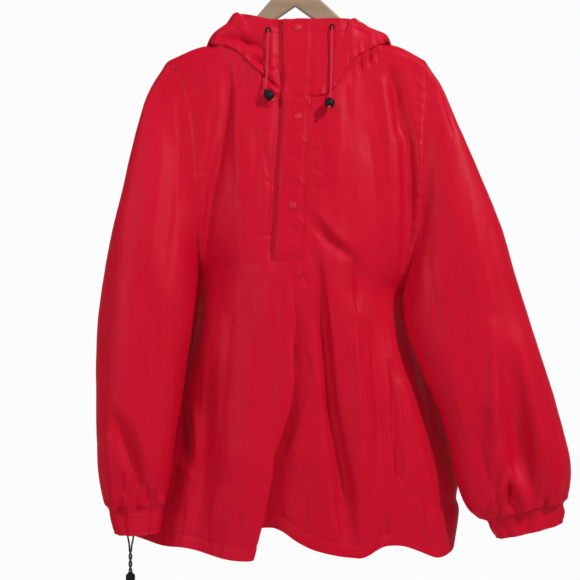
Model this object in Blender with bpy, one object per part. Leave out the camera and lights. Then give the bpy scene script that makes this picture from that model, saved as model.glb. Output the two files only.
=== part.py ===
"""Anorak pullover hanging on a flat wooden hanger.

Every size below is in millimetres. x runs across the garment from the hanger's
centre line, "drop" is the distance below the point where the hook rests on its
rail, and y is the depth: the front of the garment has negative y. Left and right
are the wearer's, so the right sleeve has negative x.

The cloth starts as one skin whose panels share the points of their seams. Each
panel is then thickened into a solid of its own along the skin's own normals, so
that neighbouring panels meet face to face with a narrow seam gap.
"""
import math
from collections import namedtuple

import bmesh
import bpy
from mathutils import Vector
from mathutils.bvhtree import BVHTree

MM = 0.001

# ---- driving dimensions -----------------------------------------------------
WALL = 2.0               # thickness of the cloth wall
SEAM_GAP = 0.44          # space between two panels along a seam
LAY_GAP = 0.4            # space between a panel and what is sewn on it
STRIP = 1.4              # thickness of the placket flap and the pocket welts
SLIT_WIDTH = 1.0         # the front opening under the flap
CORNER_GAP = 2.0         # how far panels stay from a corner where their walls would cross
LEAST_SHARE = 0.12       # below this, the panels round a corner have no common direction

ARM_SEGMENTS = 10        # rows from the shoulder to the underarm
HEM_SEGMENTS = 14        # rows from the underarm to the hem
SHOULDER = 5             # columns along each shoulder seam
FLAP_FROM, SLIT, FLAP_TO = 11, 14, 17      # front columns under the placket flap
NECK_TO, FRONT_LAST = 27, 32               # front columns: end of neck, armhole
BACK_NECK_TO, BACK_LAST = 17, 22           # back columns: end of neck, armhole
HOOD_ROWS = 12
# Rows of the hood round the shoulders, counted in places of a profile: 0 is the seam, 5 the rim
HOOD_PLACES = (0.0, 0.5, 1.0, 1.5, 2.0, 2.35, 2.7, 3.0, 3.4, 3.75, 4.15, 4.55, 5.0)
HOOD_HOLD = {"left": ((0, 0), (8, 0), (11, 1), (19, 1)), "right": ((0, 0), (6.5, 0), (8, 1), (15, 1))}

# ---- outline of the body ----------------------------------------------------
# Ridge line of the hanger under the cloth, carried on through the neck: x, drop
RIDGE = ((-201, 203), (-166, 186), (-145, 179), (-127, 177), (-108, 155), (-87, 120), (-62, 99),
         (0, 88), (62, 99), (80, 114), (95, 131), (116, 157), (138, 175), (155, 177), (172, 183),
         (204, 201))
NECK_SPREAD = 1.35       # above 1: columns of the neck lie closer together at the shoulder
SHOULDER_TIP = {"right": (-201, 203), "left": (204, 201)}
NECK_POINT = {"right": (-127, 177), "left": (138, 175)}
UNDERARM_DROP = {"right": 535, "left": 566}
SLIT_END_DROP = 517

# Front and back neck seam: x, drop
FRONT_NECK = ((-127, 177), (-108, 181), (-86, 192), (-68, 211), (-49, 228), (-24, 246),
              (1, 259), (36, 261), (59, 250), (72, 232), (91, 203), (115, 187), (138, 175))
BACK_NECK = ((-127, 177), (-100, 181), (-60, 184), (5, 187), (70, 183), (108, 180), (138, 175))

# Armhole seam: share of the way down (0 shoulder, 1 underarm), x in front, x behind
ARMHOLE = {"right": ((0.0, -201, -201), (0.1, -180, -198), (0.23, -165, -194), (0.48, -156, -190),
                     (0.66, -154, -187), (0.85, -153, -178), (1.0, -153, -153)),
           "left": ((0.0, 204, 204), (0.14, 205, 208), (0.37, 199, 208), (0.63, 200, 206),
                    (0.81, 188, 198), (1.0, 171, 171))}
# Rows of points down the armhole, closer together over the hanger and the underarm
ARM_ROWS = (0.0, 0.012, 0.04, 0.12, 0.25, 0.41, 0.58, 0.74, 0.87, 0.96, 1.0)
# Rows from the underarm to the hem, closer together near the hem
HEM_ROWS = (0.0, 0.065, 0.138, 0.217, 0.30, 0.39, 0.48, 0.565, 0.652, 0.7355, 0.808, 0.87, 0.92,
            0.964, 1.0)

# Side seams below the underarm: drop, x, y
SIDE_SEAM = {"right": ((535, -153, 6), (549, -154, 10), (568, -159, 18), (600, -169, 27),
                       (650, -186, 34), (700, -200, 37), (760, -216, 38), (819, -230, 36),
                       (898, -254, 30), (947, -271, 24)),
             "left": ((566, 171, 6), (580, 170, 10), (600, 176, 19), (640, 193, 28), (691, 213, 34),
                      (739, 234, 34), (810, 253, 29), (868, 260, 20), (894, 256, 14), (910, 260, 10),
                      (968, 251, 1))}

# Depth of the middle of the body below the ridge line: distance, front, back
DEPTH = ((0, 0, 0), (40, 4, 8), (80, 8, 17), (160, 18, 24), (240, 30, 29), (330, 40, 34),
         (430, 49, 40), (560, 58, 48), (720, 66, 56), (880, 74, 62))
HANGER_HALF = 8          # how far the cloth stands off over the hanger's edge
ARMHOLE_DEPTH = 25       # further depth of the armhole, half way down
UNDERARM_Y = 6           # the point under the arm, where side seam and armhole meet

# Line of the slit and of the overlapping fold below it: drop, x of the fold's edge,
# how far it overlaps, how far it stands forward
FOLD_LINE = ((137, 1, 0, 0), (260, 1, 0, 0), (330, -3, 0, 0), (424, -8, 0, 0), (514, -12, 0, 0),
             (560, -2, 3, 5), (605, 10, 9, 14), (681, 11, 13, 20), (741, 4, 15, 26),
             (785, -9, 17, 32), (815, -22, 18, 36), (853, -26, 18, 38), (916, -40, 18, 40),
             (980, -55, 18, 42))
FOLD_HALF = 12           # half width of the overlapping fold's turn
# Columns around that line: column, offset beside the slit, offset in the fold
FOLD_COLUMNS = ((11, -20, -32), (12, -14, -20), (13, -7, -10), (14, 0, 0),
                (15, 8, 10), (16, 16, 20), (17, 24, 32))

# Hem: x, drop (the front one on each side of the fold, then the back one)
HEM_RIGHT = ((-271, 947), (-238, 951), (-204, 958), (-172, 959), (-147, 963), (-110, 970),
             (-84, 973), (-73, 968))
HEM_LEFT = ((-73, 962), (-62, 938), (-43, 928), (-24, 934), (-1, 947), (27, 959), (58, 967),
            (88, 972), (105, 972), (123, 964), (140, 956), (166, 957), (193, 967), (219, 979),
            (240, 976), (251, 968))
HEM_BACK = ((-271, 947), (-210, 938), (-120, 930), (-20, 922), (80, 926), (180, 940), (251, 968))

# ---- folds ------------------------------------------------------------------
# Each fold runs down the cloth: rows of drop, x, depth (inwards positive), half width
FRONT_FOLDS = {
    "neck to underarm": ((196, -110, 0, 9), (260, -106, 6, 10), (330, -112, 7, 11),
                         (396, -126, 6, 12), (482, -139, 5, 10), (535, -147, 0, 8)),
    "beside neck to underarm": ((240, -84, 0, 16), (330, -82, -4, 18), (480, -86, -4, 20),
                                (600, -100, 0, 20)),
    "shoulder to underarm": ((205, 153, 0, 10), (252, 158, 9, 11), (300, 166, 10, 12),
                             (345, 176, 11, 12), (440, 180, 12, 12), (495, 178, 9, 11),
                             (560, 168, 0, 10)),
    "below the placket": ((440, 28, 0, 8), (480, 50, 5, 9), (520, 90, 5, 12), (590, 98, 0, 12)),
    "long trough": ((480, 26, 0, 8), (568, 42, 8, 10), (640, 48, 10, 11), (714, 57, 11, 12),
                    (790, 66, 12, 13), (850, 72, 12, 13), (915, 80, 8, 12), (960, 86, 3, 12)),
    "beside the long trough": ((620, 88, 0, 12), (700, 96, -7, 13), (820, 100, -8, 14),
                               (900, 100, -6, 14), (960, 102, -2, 14)),
    "before the pocket": ((600, 118, 0, 12), (700, 124, 5, 13), (800, 130, 5, 13), (880, 136, 0, 12)),
    "hem crease": ((880, 140, 0, 8), (930, 134, 5, 9), (965, 127, 6, 9)),
    "side hem crease": ((860, 200, 0, 8), (915, 205, 6, 9), (975, 210, 5, 9)),
    "right side trough": ((650, -128, 0, 16), (740, -134, 6, 17), (840, -142, 7, 18),
                          (930, -150, 3, 16)),
    "right front ridge": ((560, -80, 0, 26), (700, -92, -5, 28), (860, -104, -6, 30),
                          (960, -108, -3, 30)),
    "hem wave": ((880, -60, 0, 14), (960, -64, -4, 16)),
}
BACK_FOLDS = {
    "right blade": ((230, -120, 0, 14), (330, -112, 8, 16), (480, -104, 9, 18), (680, -112, 7, 20),
                    (900, -128, 6, 20)),
    "middle": ((400, -10, 0, 20), (560, -4, 8, 20), (760, 6, 10, 20), (930, 10, 8, 20)),
    "left blade": ((230, 126, 0, 14), (330, 118, 7, 16), (480, 108, 9, 18), (680, 116, 8, 20),
                   (900, 140, 7, 20)),
    "right ridge": ((460, -60, 0, 22), (640, -56, -6, 24), (940, -60, -7, 24)),
    "left ridge": ((460, 56, 0, 22), (640, 62, -7, 24), (940, 74, -7, 24)),
    "right hem": ((720, -180, 0, 16), (930, -190, 7, 18)),
    "left hem": ((700, 190, 0, 16), (940, 196, 8, 18)),
}
SLEEVE_FOLDS = {
    "right": {"elbow crescent": ((740, -282, 0, 12), (790, -258, 6, 12), (835, -240, 8, 12),
                                 (885, -234, 5, 11), (905, -232, 0, 10)),
              "outer ridge": ((420, -262, 0, 22), (600, -270, -4, 26), (800, -284, 0, 24))},
    "left": {"elbow blade": ((650, 326, 0, 14), (720, 338, 9, 16), (790, 344, 12, 18),
                             (840, 352, 13, 18), (885, 362, 6, 15), (905, 365, 0, 12)),
             "elbow ridge": ((600, 300, 0, 12), (660, 306, -5, 12), (740, 306, -6, 12), (800, 300, 0, 12)),
             "inner trough": ((740, 286, 0, 12), (800, 286, 6, 12), (880, 306, 5, 12), (905, 316, 0, 10))},
}

# ---- sleeves ----------------------------------------------------------------
# Rings from the armhole to the end of the cuff. Each row gives the ring's outer and
# inner end in the view from the front, its middle's y and its half depth.
Ring = namedtuple("Ring", "outer_x outer_drop inner_x inner_drop middle_y half_depth")
SLEEVE = {
    "right": (Ring(-201, 203, -153, 535, 0, 33), Ring(-229, 248, -154, 548, -11, 35),
              Ring(-245, 297, -155, 562, -17, 38), Ring(-265, 388, -157, 582, -24, 42),
              Ring(-286, 482, -159, 606, -31, 45), Ring(-302, 579, -162, 638, -38, 46),
              Ring(-307, 657, -168, 682, -45, 46), Ring(-307, 734, -176, 739, -52, 46),
              Ring(-305, 796, -185, 793, -58, 45), Ring(-300, 847, -191, 847, -65, 42),
              Ring(-290, 884, -199, 882, -70, 35), Ring(-282, 897, -204, 895, -72, 28),
              Ring(-279, 914, -205, 913, -75, 27), Ring(-273, 934, -208, 932, -78, 29)),
    "left": (Ring(204, 201, 171, 566, 0, 33), Ring(232, 245, 171, 579, -11, 35),
             Ring(256, 303, 171, 592, -17, 38), Ring(291, 388, 172, 610, -24, 41),
             Ring(324, 474, 177, 634, -29, 43), Ring(346, 555, 186, 660, -33, 45),
             Ring(374, 643, 199, 693, -37, 46), Ring(398, 722, 218, 738, -40, 46),
             Ring(414, 785, 236, 791, -42, 45), Ring(424, 832, 250, 858, -43, 43),
             Ring(422, 868, 272, 904, -43, 35), Ring(413, 893, 298, 919, -42, 25),
             Ring(416, 907, 305, 934, -41, 23), Ring(413, 924, 314, 948, -40, 24)),
}
BACK_SHARE = 0.68        # depth of a sleeve behind its middle, as a share of the front's
SEAM_FADE = 4            # rings over which the armhole's own shape fades out
GATHERS = 10             # gathers round each cuff
# Height of the gathers: ring number, height
GATHER_HEIGHT = ((8, 0), (9, 0.6), (10, 2.2), (11, 2.6), (12, 1.8), (13, 1.4))
UPPER_RINGS = (0, 0.5, 1, 2, 3, 4, 5, 6, 7, 8)
LOWER_RINGS = (8, 9, 9.6, 10.2, 10.6, 11)
CUFF_RINGS = (11, 12, 13)

# ---- hood, lying open behind the neck ---------------------------------------
# Profiles from the neck seam to the rim. "at" counts the columns from the slit.
# turn: over the top; down: on the back; base: lowest; out: outer face; rim.
Profile = namedtuple("Profile", "at turn down base out rim")
HOOD_FRONT = {"left": ((0, 2, 137), (3, 31, 137), (4.6, 54, 136), (6, 76, 136)),
              "right": ((0, -1, 138), (3, -18, 138), (4, -41, 137), (5, -68, 131))}
HOOD = {
    "left": (Profile(7, (86, 140, -11), (90, 135, -6), (93, 134, -1), (94, 134, 5), (92, 134, 11)),
             Profile(8, (98, 145, -10), (102, 139, -2), (105, 139, 8), (106, 142, 18), (100, 140, 28)),
             Profile(10, (117, 153, -8), (122, 151, 1), (127, 155, 13), (129, 160, 31), (116, 151, 43)),
             Profile(12, (138, 161, -4), (144, 159, 5), (147, 164, 19), (148, 170, 36), (127, 160, 51)),
             Profile(13, (143, 169, 1), (149, 172, 7), (157, 188, 23), (157, 192, 42), (127, 169, 58)),
             Profile(14, (132, 170, 11), (141, 178, 17), (157, 216, 30), (154, 212, 56), (123, 177, 63)),
             Profile(15, (116, 166, 20), (138, 203, 37), (154, 262, 53), (145, 242, 80), (112, 190, 71)),
             Profile(16.5, (86, 169, 29), (115, 240, 49), (121, 330, 68), (112, 276, 100), (84, 212, 86)),
             Profile(19, (4, 172, 36), (4, 262, 55), (4, 394, 79), (4, 312, 118), (4, 234, 105))),
    "right": (Profile(6, (-87, 131, -12), (-90, 126, -6), (-93, 125, 1), (-94, 126, 8), (-91, 126, 15)),
              Profile(7, (-105, 146, -9), (-109, 143, 0), (-112, 146, 10), (-113, 149, 22), (-105, 143, 33)),
              Profile(8, (-123, 161, -5), (-129, 157, 4), (-132, 162, 18), (-133, 168, 34), (-117, 158, 47)),
              Profile(9, (-132, 171, 1), (-138, 174, 7), (-146, 190, 23), (-146, 194, 42), (-117, 170, 57)),
              Profile(10, (-121, 172, 11), (-130, 180, 17), (-146, 219, 30), (-143, 215, 56), (-113, 179, 62)),
              Profile(11, (-105, 168, 20), (-127, 205, 37), (-143, 266, 53), (-134, 245, 80), (-102, 191, 71)),
              Profile(12.5, (-73, 170, 29), (-102, 242, 49), (-108, 334, 68), (-100, 280, 100), (-74, 212, 86)),
              Profile(15, (4, 172, 36), (4, 262, 55), (4, 394, 79), (4, 312, 118), (4, 234, 105))),
}
HOOD_RISE = (0.5, 0.68, 0.81, 0.92, 1.0)   # the same five places on the flat front part

# ---- placket, pockets and small parts ---------------------------------------
POCKET_ROWS = (14, 19)                    # skin rows at the ends of a pocket welt
POCKET_COLUMNS = {"left": (26, 27), "right": (1, 2)}
POCKET_SHARE = {"left": (0.61, 0.655), "right": (0.07, 0.13)}
SNAP_PLACES = ((5, 152), (5, 293), (-4, 433))          # x, drop
SNAP_RADIUS, SNAP_HEIGHT = 5.2, 2.4
EYELETS = {"right": (-42, 155), "left": (58, 150)}     # x, drop
EYELET_RADIUS, EYELET_HOLE, EYELET_HEIGHT = 4.4, 2.2, 1.2
CORD_RADIUS = 1.3
# Hood cords: x, drop, distance of the cord's middle from the cloth
HOOD_CORD = {"right": ((-42, 158, 5.6), (-42.2, 166, 5.6), (-42.8, 180, 4.6), (-43.4, 205, 4.2),
                       (-45, 232, 5.0), (-47, 251.5, 9.5)),
             "left": ((58, 153, 5.6), (57.8, 161, 5.6), (57.4, 176, 4.6), (57, 205, 4.2),
                      (56, 240, 5.0), (54.6, 266.5, 9.5))}
CORD_STUB = 3.2          # how far a hood cord runs straight out of its eyelet
LOCK_LENGTH, LOCK_RADIUS = 17.0, 7.4
LOCK_SLOPE = {"right": (0.7, -0.15, -0.95), "left": (-0.1, -0.7, -0.7)}   # which way a lock hangs
LOCK_PLAY = 0.35         # space between a lock and its cord, and between a lock and its end knot

# Elastic cord of the hem: its two strands start under the front's and the back's hem at x, y, drop,
# come together above a lock and turn round each other down to it
HEM_STARTS = {"a": (-266.5, 12.8, 948.1), "b": (-254, -12, 949.3)}
HEM_CORD_X = -260        # where the strands and their lock hang
HEM_CORD_RADIUS = 1.5
HEM_STRAIGHT, HEM_BEND = 2.5, 12       # below the start: end of the straight piece, end of the bend
HEM_BEND_HALF = 3.6      # half the distance of the strands at the end of the bend
HEM_TURN_DROP, HEM_END_DROP = 972, 1007
HEM_TWIST = 1.75         # radius of the twist
HEM_HALF_TURNS = 3

# ---- hanger -----------------------------------------------------------------
HANGER_THICK = 10
# Upper and lower edge of the wood: x, drop
HANGER_TOP = ((-207, 221), (-197, 206), (-166, 190), (-146, 187), (-127, 186), (-115, 177),
              (-103, 166), (-87, 152), (-62, 133), (-40, 107), (-24, 90), (-12, 79), (0, 76),
              (12, 79), (24, 90), (43, 107), (71, 133), (93, 150), (112, 166), (127, 180),
              (139, 184), (156, 184), (172, 187), (199, 203), (210, 220))
HANGER_FOOT = ((208, 228), (198, 227), (160, 209), (120, 194), (80, 169), (50, 149), (28, 136),
               (0, 116), (-28, 136), (-50, 150), (-80, 170), (-120, 196), (-160, 212), (-195, 229),
               (-205, 229))
WIRE = 1.9               # radius of the hook's wire
HOOK_RADIUS = 20
HOOK_FOOT_DROP = 76


# ---- interpolation ----------------------------------------------------------
def mix(a, b, share):
    return a + (b - a) * share


def ease(value):
    value = min(1.0, max(0.0, value))
    return value * value * (3 - 2 * value)


def smooth_row(rows, key):
    """The columns after the first, at key, on a smooth curve through a table's rows."""
    if key <= rows[0][0]:
        return tuple(rows[0][1:])
    if key >= rows[-1][0]:
        return tuple(rows[-1][1:])
    last = len(rows) - 1
    i = max(k for k in range(last) if rows[k][0] <= key)
    span = rows[i + 1][0] - rows[i][0]
    u = (key - rows[i][0]) / span
    result = []
    for column in range(1, len(rows[0])):
        def slope(k):
            low, high = max(0, k - 1), min(last, k + 1)
            return (rows[high][column] - rows[low][column]) / (rows[high][0] - rows[low][0])
        a, b = rows[i][column], rows[i + 1][column]
        rise_a, rise_b = slope(i) * span, slope(i + 1) * span
        result.append(a * (2 * u ** 3 - 3 * u ** 2 + 1) + rise_a * (u ** 3 - 2 * u ** 2 + u)
                      + b * (3 * u ** 2 - 2 * u ** 3) + rise_b * (u ** 3 - u ** 2))
    return tuple(result)


def smooth_value(rows, key):
    return smooth_row(rows, key)[0]


def straight_value(rows, key):
    """The second column at key, on straight lines through a table's rows."""
    for (a, va), (b, vb) in zip(rows, rows[1:]):
        if key <= b:
            return mix(va, vb, (key - a) / (b - a))
    return rows[-1][1]


def along(points, share):
    """A point on a smooth curve through a few points, evenly by the root of their distance."""
    knots = [0.0]
    for a, b in zip(points, points[1:]):
        knots.append(knots[-1] + math.sqrt((b - a).length))
    rows = [(knot, *point) for knot, point in zip(knots, points)]
    return Vector(smooth_row(rows, share * knots[-1]))


def even_shares(points, count):
    """Where, along the smooth curve through a few points, points at even distances lie."""
    fine = [along(points, i / (8 * count)) for i in range(8 * count + 1)]
    lengths = [0.0]
    for a, b in zip(fine, fine[1:]):
        lengths.append(lengths[-1] + (b - a).length)
    rows = [(length, i / (8 * count)) for i, length in enumerate(lengths)]
    return [straight_value(rows, lengths[-1] * k / count) for k in range(count + 1)]


def place_shares(points, places):
    """Where, along the same curve, places counted in its points lie."""
    knots = [0.0]
    for a, b in zip(points, points[1:]):
        knots.append(knots[-1] + math.sqrt((b - a).length))
    rows = [(i, knot / knots[-1]) for i, knot in enumerate(knots)]
    return [straight_value(rows, where) for where in places]


def place(x, drop, y):
    return Vector((x, y, -drop)) * MM


# ---- the body's surface -----------------------------------------------------
def fold_depth(folds, x, drop):
    """Sum of the folds that reach a place on the cloth."""
    total = 0.0
    for rows in folds.values():
        if rows[0][0] < drop < rows[-1][0] + 60:
            middle, depth, half = smooth_row(rows, drop)
            total += depth * math.exp(-((x - middle) / half) ** 2)
    return total


def below_ridge(x, drop):
    return max(0.0, drop - smooth_value(RIDGE, x))


def stand_off(x, drop):
    """Half thickness of the hanger with the cloth lying over it."""
    return HANGER_HALF * (1 - math.exp(-below_ridge(x, drop) / 2.5))


def armhole_y(x, drop, share, sign):
    """y of the armhole: thin on the hanger, closing at the underarm. sign is -1 in front."""
    closing = max(0.0, (share - 0.7) / 0.3)
    spread = ARMHOLE_DEPTH * ease(share / 0.6)
    return UNDERARM_Y * closing ** 2 + sign * (stand_off(x, drop) + spread) * (1 - closing ** 2)


def body_depth(x, drop, side, bulge=1.0):
    """Depth of the middle of the body; side is 1 for the front and 2 for the back."""
    return stand_off(x, drop) + bulge * smooth_row(DEPTH, below_ridge(x, drop))[side - 1]


def edge_x(wearer_side, row, side):
    """x of the body's edge: the armhole, then the side seam."""
    if row <= ARM_SEGMENTS:
        return smooth_row(ARMHOLE[wearer_side], arm_share(row))[side - 1]
    rows = SIDE_SEAM[wearer_side]
    return smooth_row(rows, mix(rows[0][0], rows[-1][0], hem_share(row)))[0]


def edge_y(wearer_side, row):
    """y of the side seam below the underarm."""
    rows = SIDE_SEAM[wearer_side]
    return smooth_row(rows, mix(rows[0][0], rows[-1][0], hem_share(row)))[1]


def arm_share(row):
    return straight_value(tuple(enumerate(ARM_ROWS)), row)


def hem_share(row):
    return straight_value(tuple(enumerate(HEM_ROWS)), row - ARM_SEGMENTS)


def fold_offset(column, drop):
    """x of a column near the slit, measured from the slit's line."""
    beside = straight_value([(c, a) for c, a, b in FOLD_COLUMNS], column)
    folded = straight_value([(c, b) for c, a, b in FOLD_COLUMNS], column)
    return mix(beside, folded, ease((drop - SLIT_END_DROP) / 90))


def slit_x(drop):
    edge, overlap, forward = smooth_row(FOLD_LINE, drop)
    return edge - overlap


def front_top_x(column):
    """x of the front's upper edge: shoulder, neck, shoulder."""
    if column < SHOULDER:
        return mix(SHOULDER_TIP["right"][0], NECK_POINT["right"][0], column / SHOULDER)
    if column > NECK_TO:
        share = (column - NECK_TO) / (FRONT_LAST - NECK_TO)
        return mix(NECK_POINT["left"][0], SHOULDER_TIP["left"][0], share)
    if column < FLAP_FROM:
        share = ((column - SHOULDER) / (FLAP_FROM - SHOULDER)) ** NECK_SPREAD
        return mix(NECK_POINT["right"][0], slit_x(260) + FOLD_COLUMNS[0][1], share)
    if column > FLAP_TO:
        share = ((NECK_TO - column) / (NECK_TO - FLAP_TO)) ** NECK_SPREAD
        return mix(NECK_POINT["left"][0], slit_x(260) + FOLD_COLUMNS[-1][1], share)
    return slit_x(260) + straight_value([(c, a) for c, a, b in FOLD_COLUMNS], column)


def back_top_x(column):
    """x of the back's upper edge."""
    if column < SHOULDER:
        return mix(SHOULDER_TIP["right"][0], NECK_POINT["right"][0], column / SHOULDER)
    if column > BACK_NECK_TO:
        share = (column - BACK_NECK_TO) / (BACK_LAST - BACK_NECK_TO)
        return mix(NECK_POINT["left"][0], SHOULDER_TIP["left"][0], share)
    evenly = (column - SHOULDER) / (BACK_NECK_TO - SHOULDER)
    share = mix(evenly, (1 - math.cos(math.pi * evenly)) / 2, 0.6)
    return mix(NECK_POINT["right"][0], NECK_POINT["left"][0], share)


def front_share(column, row):
    """Which part of the way from the armhole or side seam to the flap a column has."""
    down = arm_share(row) if row < ARM_SEGMENTS else 1.0
    if column <= FLAP_FROM:
        tip, flap = SHOULDER_TIP["right"][0], slit_x(260) + FOLD_COLUMNS[0][1]
        top = (front_top_x(column) - tip) / (flap - tip)
        low_rows = ((0, 0), (1, POCKET_SHARE["right"][0]), (2, POCKET_SHARE["right"][1]), (FLAP_FROM, 1))
    else:
        tip, flap = SHOULDER_TIP["left"][0], slit_x(260) + FOLD_COLUMNS[-1][1]
        top = (front_top_x(column) - flap) / (tip - flap)
        low_rows = ((FLAP_TO, 0), (26, POCKET_SHARE["left"][0]), (27, POCKET_SHARE["left"][1]),
                    (FRONT_LAST, 1))
    return mix(top, straight_value(low_rows, column), down)


def front_hem_drop(column, x):
    return smooth_value(HEM_RIGHT if column < SLIT else HEM_LEFT, x)


def front_cloth_x(column, row, drop):
    if FLAP_FROM <= column <= FLAP_TO:
        return slit_x(drop) + fold_offset(column, drop)
    share = front_share(column, row)
    if column < FLAP_FROM:
        return mix(edge_x("right", row, 1), slit_x(drop) + fold_offset(FLAP_FROM, drop), share)
    return mix(slit_x(drop) + fold_offset(FLAP_TO, drop), edge_x("left", row, 1), share)


def underarm_drop(column):
    return straight_value(((0, UNDERARM_DROP["right"]), (FLAP_FROM, SLIT_END_DROP + 1),
                           (SLIT, SLIT_END_DROP), (FLAP_TO, SLIT_END_DROP + 1),
                           (FRONT_LAST, UNDERARM_DROP["left"])), column)


def body_y(x, drop, row, side, edges):
    """y of the cloth: from the edges' depth to the middle's, with the folds."""
    sign = -1 if side == 1 else 1
    left, right = edges
    across = max(-1.0, min(1.0, 2 * (x - left) / (right - left) - 1))
    if row <= ARM_SEGMENTS:
        share = arm_share(row)
        at_edge = armhole_y(x, drop, share, sign)
        power = 1.0
    else:
        at_edge = mix(edge_y("right", row), edge_y("left", row), (across + 1) / 2)
        power = mix(1.0, 0.6, ease(hem_share(row) / 0.4))
    bulge = max(0.0, 1 - abs(across) ** 3) ** power
    y = mix(at_edge, sign * body_depth(x, drop, side), bulge)
    folds = FRONT_FOLDS if side == 1 else BACK_FOLDS
    calm = ease((1 - abs(across)) / 0.12) * ease((drop - smooth_value(RIDGE, x)) / 30)
    return y - sign * calm * fold_depth(folds, x, drop)


def front_point(column, row, slit_side=0):
    """A point of the front. slit_side is -1 or 1 along the two edges of the slit."""
    top_x = front_top_x(column)
    top_drop = smooth_value(FRONT_NECK if SHOULDER <= column <= NECK_TO else RIDGE, top_x)
    if row <= ARM_SEGMENTS:
        drop = mix(top_drop, underarm_drop(column), arm_share(row))
    else:
        hem_x = front_cloth_x(column, ARM_SEGMENTS + HEM_SEGMENTS, 960)
        drop = mix(underarm_drop(column), front_hem_drop(column, hem_x), hem_share(row))
    x = top_x if row == 0 else front_cloth_x(column, row, drop)
    y = body_y(x, drop, row, 1, (edge_x("right", row, 1), edge_x("left", row, 1)))
    edge, overlap, forward = smooth_row(FOLD_LINE, drop)
    turn = (x - slit_x(drop)) / FOLD_HALF
    y += forward * 0.5 * math.tanh(1.3 * turn) * max(0.0, 1 - (turn / 9) ** 2) ** 3
    x -= overlap * turn * math.exp(0.5 - turn * turn / 2)
    return place(x + slit_side * SLIT_WIDTH / 2, drop, y)


def back_point(column, row):
    last = BACK_LAST
    x_top = back_top_x(column)
    on_neck = SHOULDER <= column <= BACK_NECK_TO
    top_drop = smooth_value(BACK_NECK if on_neck else RIDGE, x_top)
    low_drop = mix(UNDERARM_DROP["right"], UNDERARM_DROP["left"], column / last)
    edges = (edge_x("right", row, 2), edge_x("left", row, 2))
    if row <= ARM_SEGMENTS:
        down = arm_share(row)
        tips = (SHOULDER_TIP["right"][0], SHOULDER_TIP["left"][0])
        share = mix((x_top - tips[0]) / (tips[1] - tips[0]), column / last, down)
        drop = mix(top_drop, low_drop, down)
    else:
        share = column / last
        hem_x = mix(HEM_BACK[0][0], HEM_BACK[-1][0], share)
        drop = mix(low_drop, smooth_value(HEM_BACK, hem_x), hem_share(row))
    x = mix(*edges, share)
    return place(x, drop, body_y(x, drop, row, 2, edges))


# ---- sleeves, cuffs and hood ------------------------------------------------
def seam_fade(ring):
    """How far a ring has left the armhole's shape: 0 at the seam, 1 from SEAM_FADE on."""
    return 1 - max(0.0, 1 - ring / SEAM_FADE) ** 2


def sleeve_share(step, ring):
    """Share of the way from outer to inner end; step runs from 0 to ARM_SEGMENTS."""
    evenly = (1 - math.cos(math.pi * step / ARM_SEGMENTS)) / 2
    return mix(arm_share(step), evenly, seam_fade(ring))


def sleeve_point(wearer_side, ring, step, face):
    """A point of the sleeve or cuff. face is -1 on the front and 1 on the back."""
    rows = [(i, *r) for i, r in enumerate(SLEEVE[wearer_side])]
    r = Ring(*smooth_row(rows, ring))
    share = sleeve_share(step, ring)
    x, drop = mix(r.outer_x, r.inner_x, share), mix(r.outer_drop, r.inner_drop, share)
    fade = seam_fade(ring)
    first = SLEEVE[wearer_side][0]
    seam_x = smooth_row(ARMHOLE[wearer_side], share)[0 if face < 0 else 1]
    seam_drop = mix(first.outer_drop, first.inner_drop, share)
    x += (seam_x - mix(first.outer_x, first.inner_x, share)) * (1 - fade)
    half_depth = r.half_depth * (1 if face < 0 else BACK_SHARE)
    round_depth = half_depth * math.sqrt(max(0.0, 1 - abs(2 * share - 1) ** 2.2))
    y = mix(armhole_y(seam_x, seam_drop, share, face), r.middle_y + face * round_depth, fade)
    if face < 0:
        calm = math.sin(math.pi * step / ARM_SEGMENTS) * fade
        y += calm * fold_depth(SLEEVE_FOLDS[wearer_side], x, drop)
    height = smooth_value(GATHER_HEIGHT, ring)
    if height > 0:
        turn = math.pi * step / ARM_SEGMENTS * (1 if face < 0 else -1)
        middle = Vector((mix(r.outer_x, r.inner_x, 0.5), mix(r.outer_drop, r.inner_drop, 0.5), r.middle_y))
        arm = Vector((x, drop, y)) - middle
        arm *= 1 + height * math.sin(GATHERS * turn) / max(12.0, arm.length)
        x, drop, y = middle + arm
    return place(x, drop, y)


def sleeve_ring(wearer_side, ring, per_step):
    """Points round a ring: down the front from the outer end, then up the back."""
    steps = ARM_SEGMENTS * per_step
    front = [sleeve_point(wearer_side, ring, i / per_step, -1) for i in range(steps + 1)]
    back = [sleeve_point(wearer_side, ring, i / per_step, 1) for i in range(steps - 1, 0, -1)]
    return front + back


def hood_neck_point(wearer_side, at):
    """The neck seam, counted in columns from the slit round to the middle of the back."""
    columns = SLIT - SHOULDER if wearer_side == "right" else NECK_TO - SLIT
    if at <= columns:
        if wearer_side == "right":
            return front_point(SLIT - at, 0, -1 if at == 0 else 0)
        return front_point(SLIT + at, 0, 1 if at == 0 else 0)
    if wearer_side == "right":
        return back_point(SHOULDER + (at - columns), 0)
    return back_point(BACK_NECK_TO - (at - columns), 0)


def hood_front_y(x, drop):
    across = max(-1.0, min(1.0, 2 * (x + 201) / 405 - 1))
    return -body_depth(x, drop, 1, 1 - abs(across) ** 3)


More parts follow.
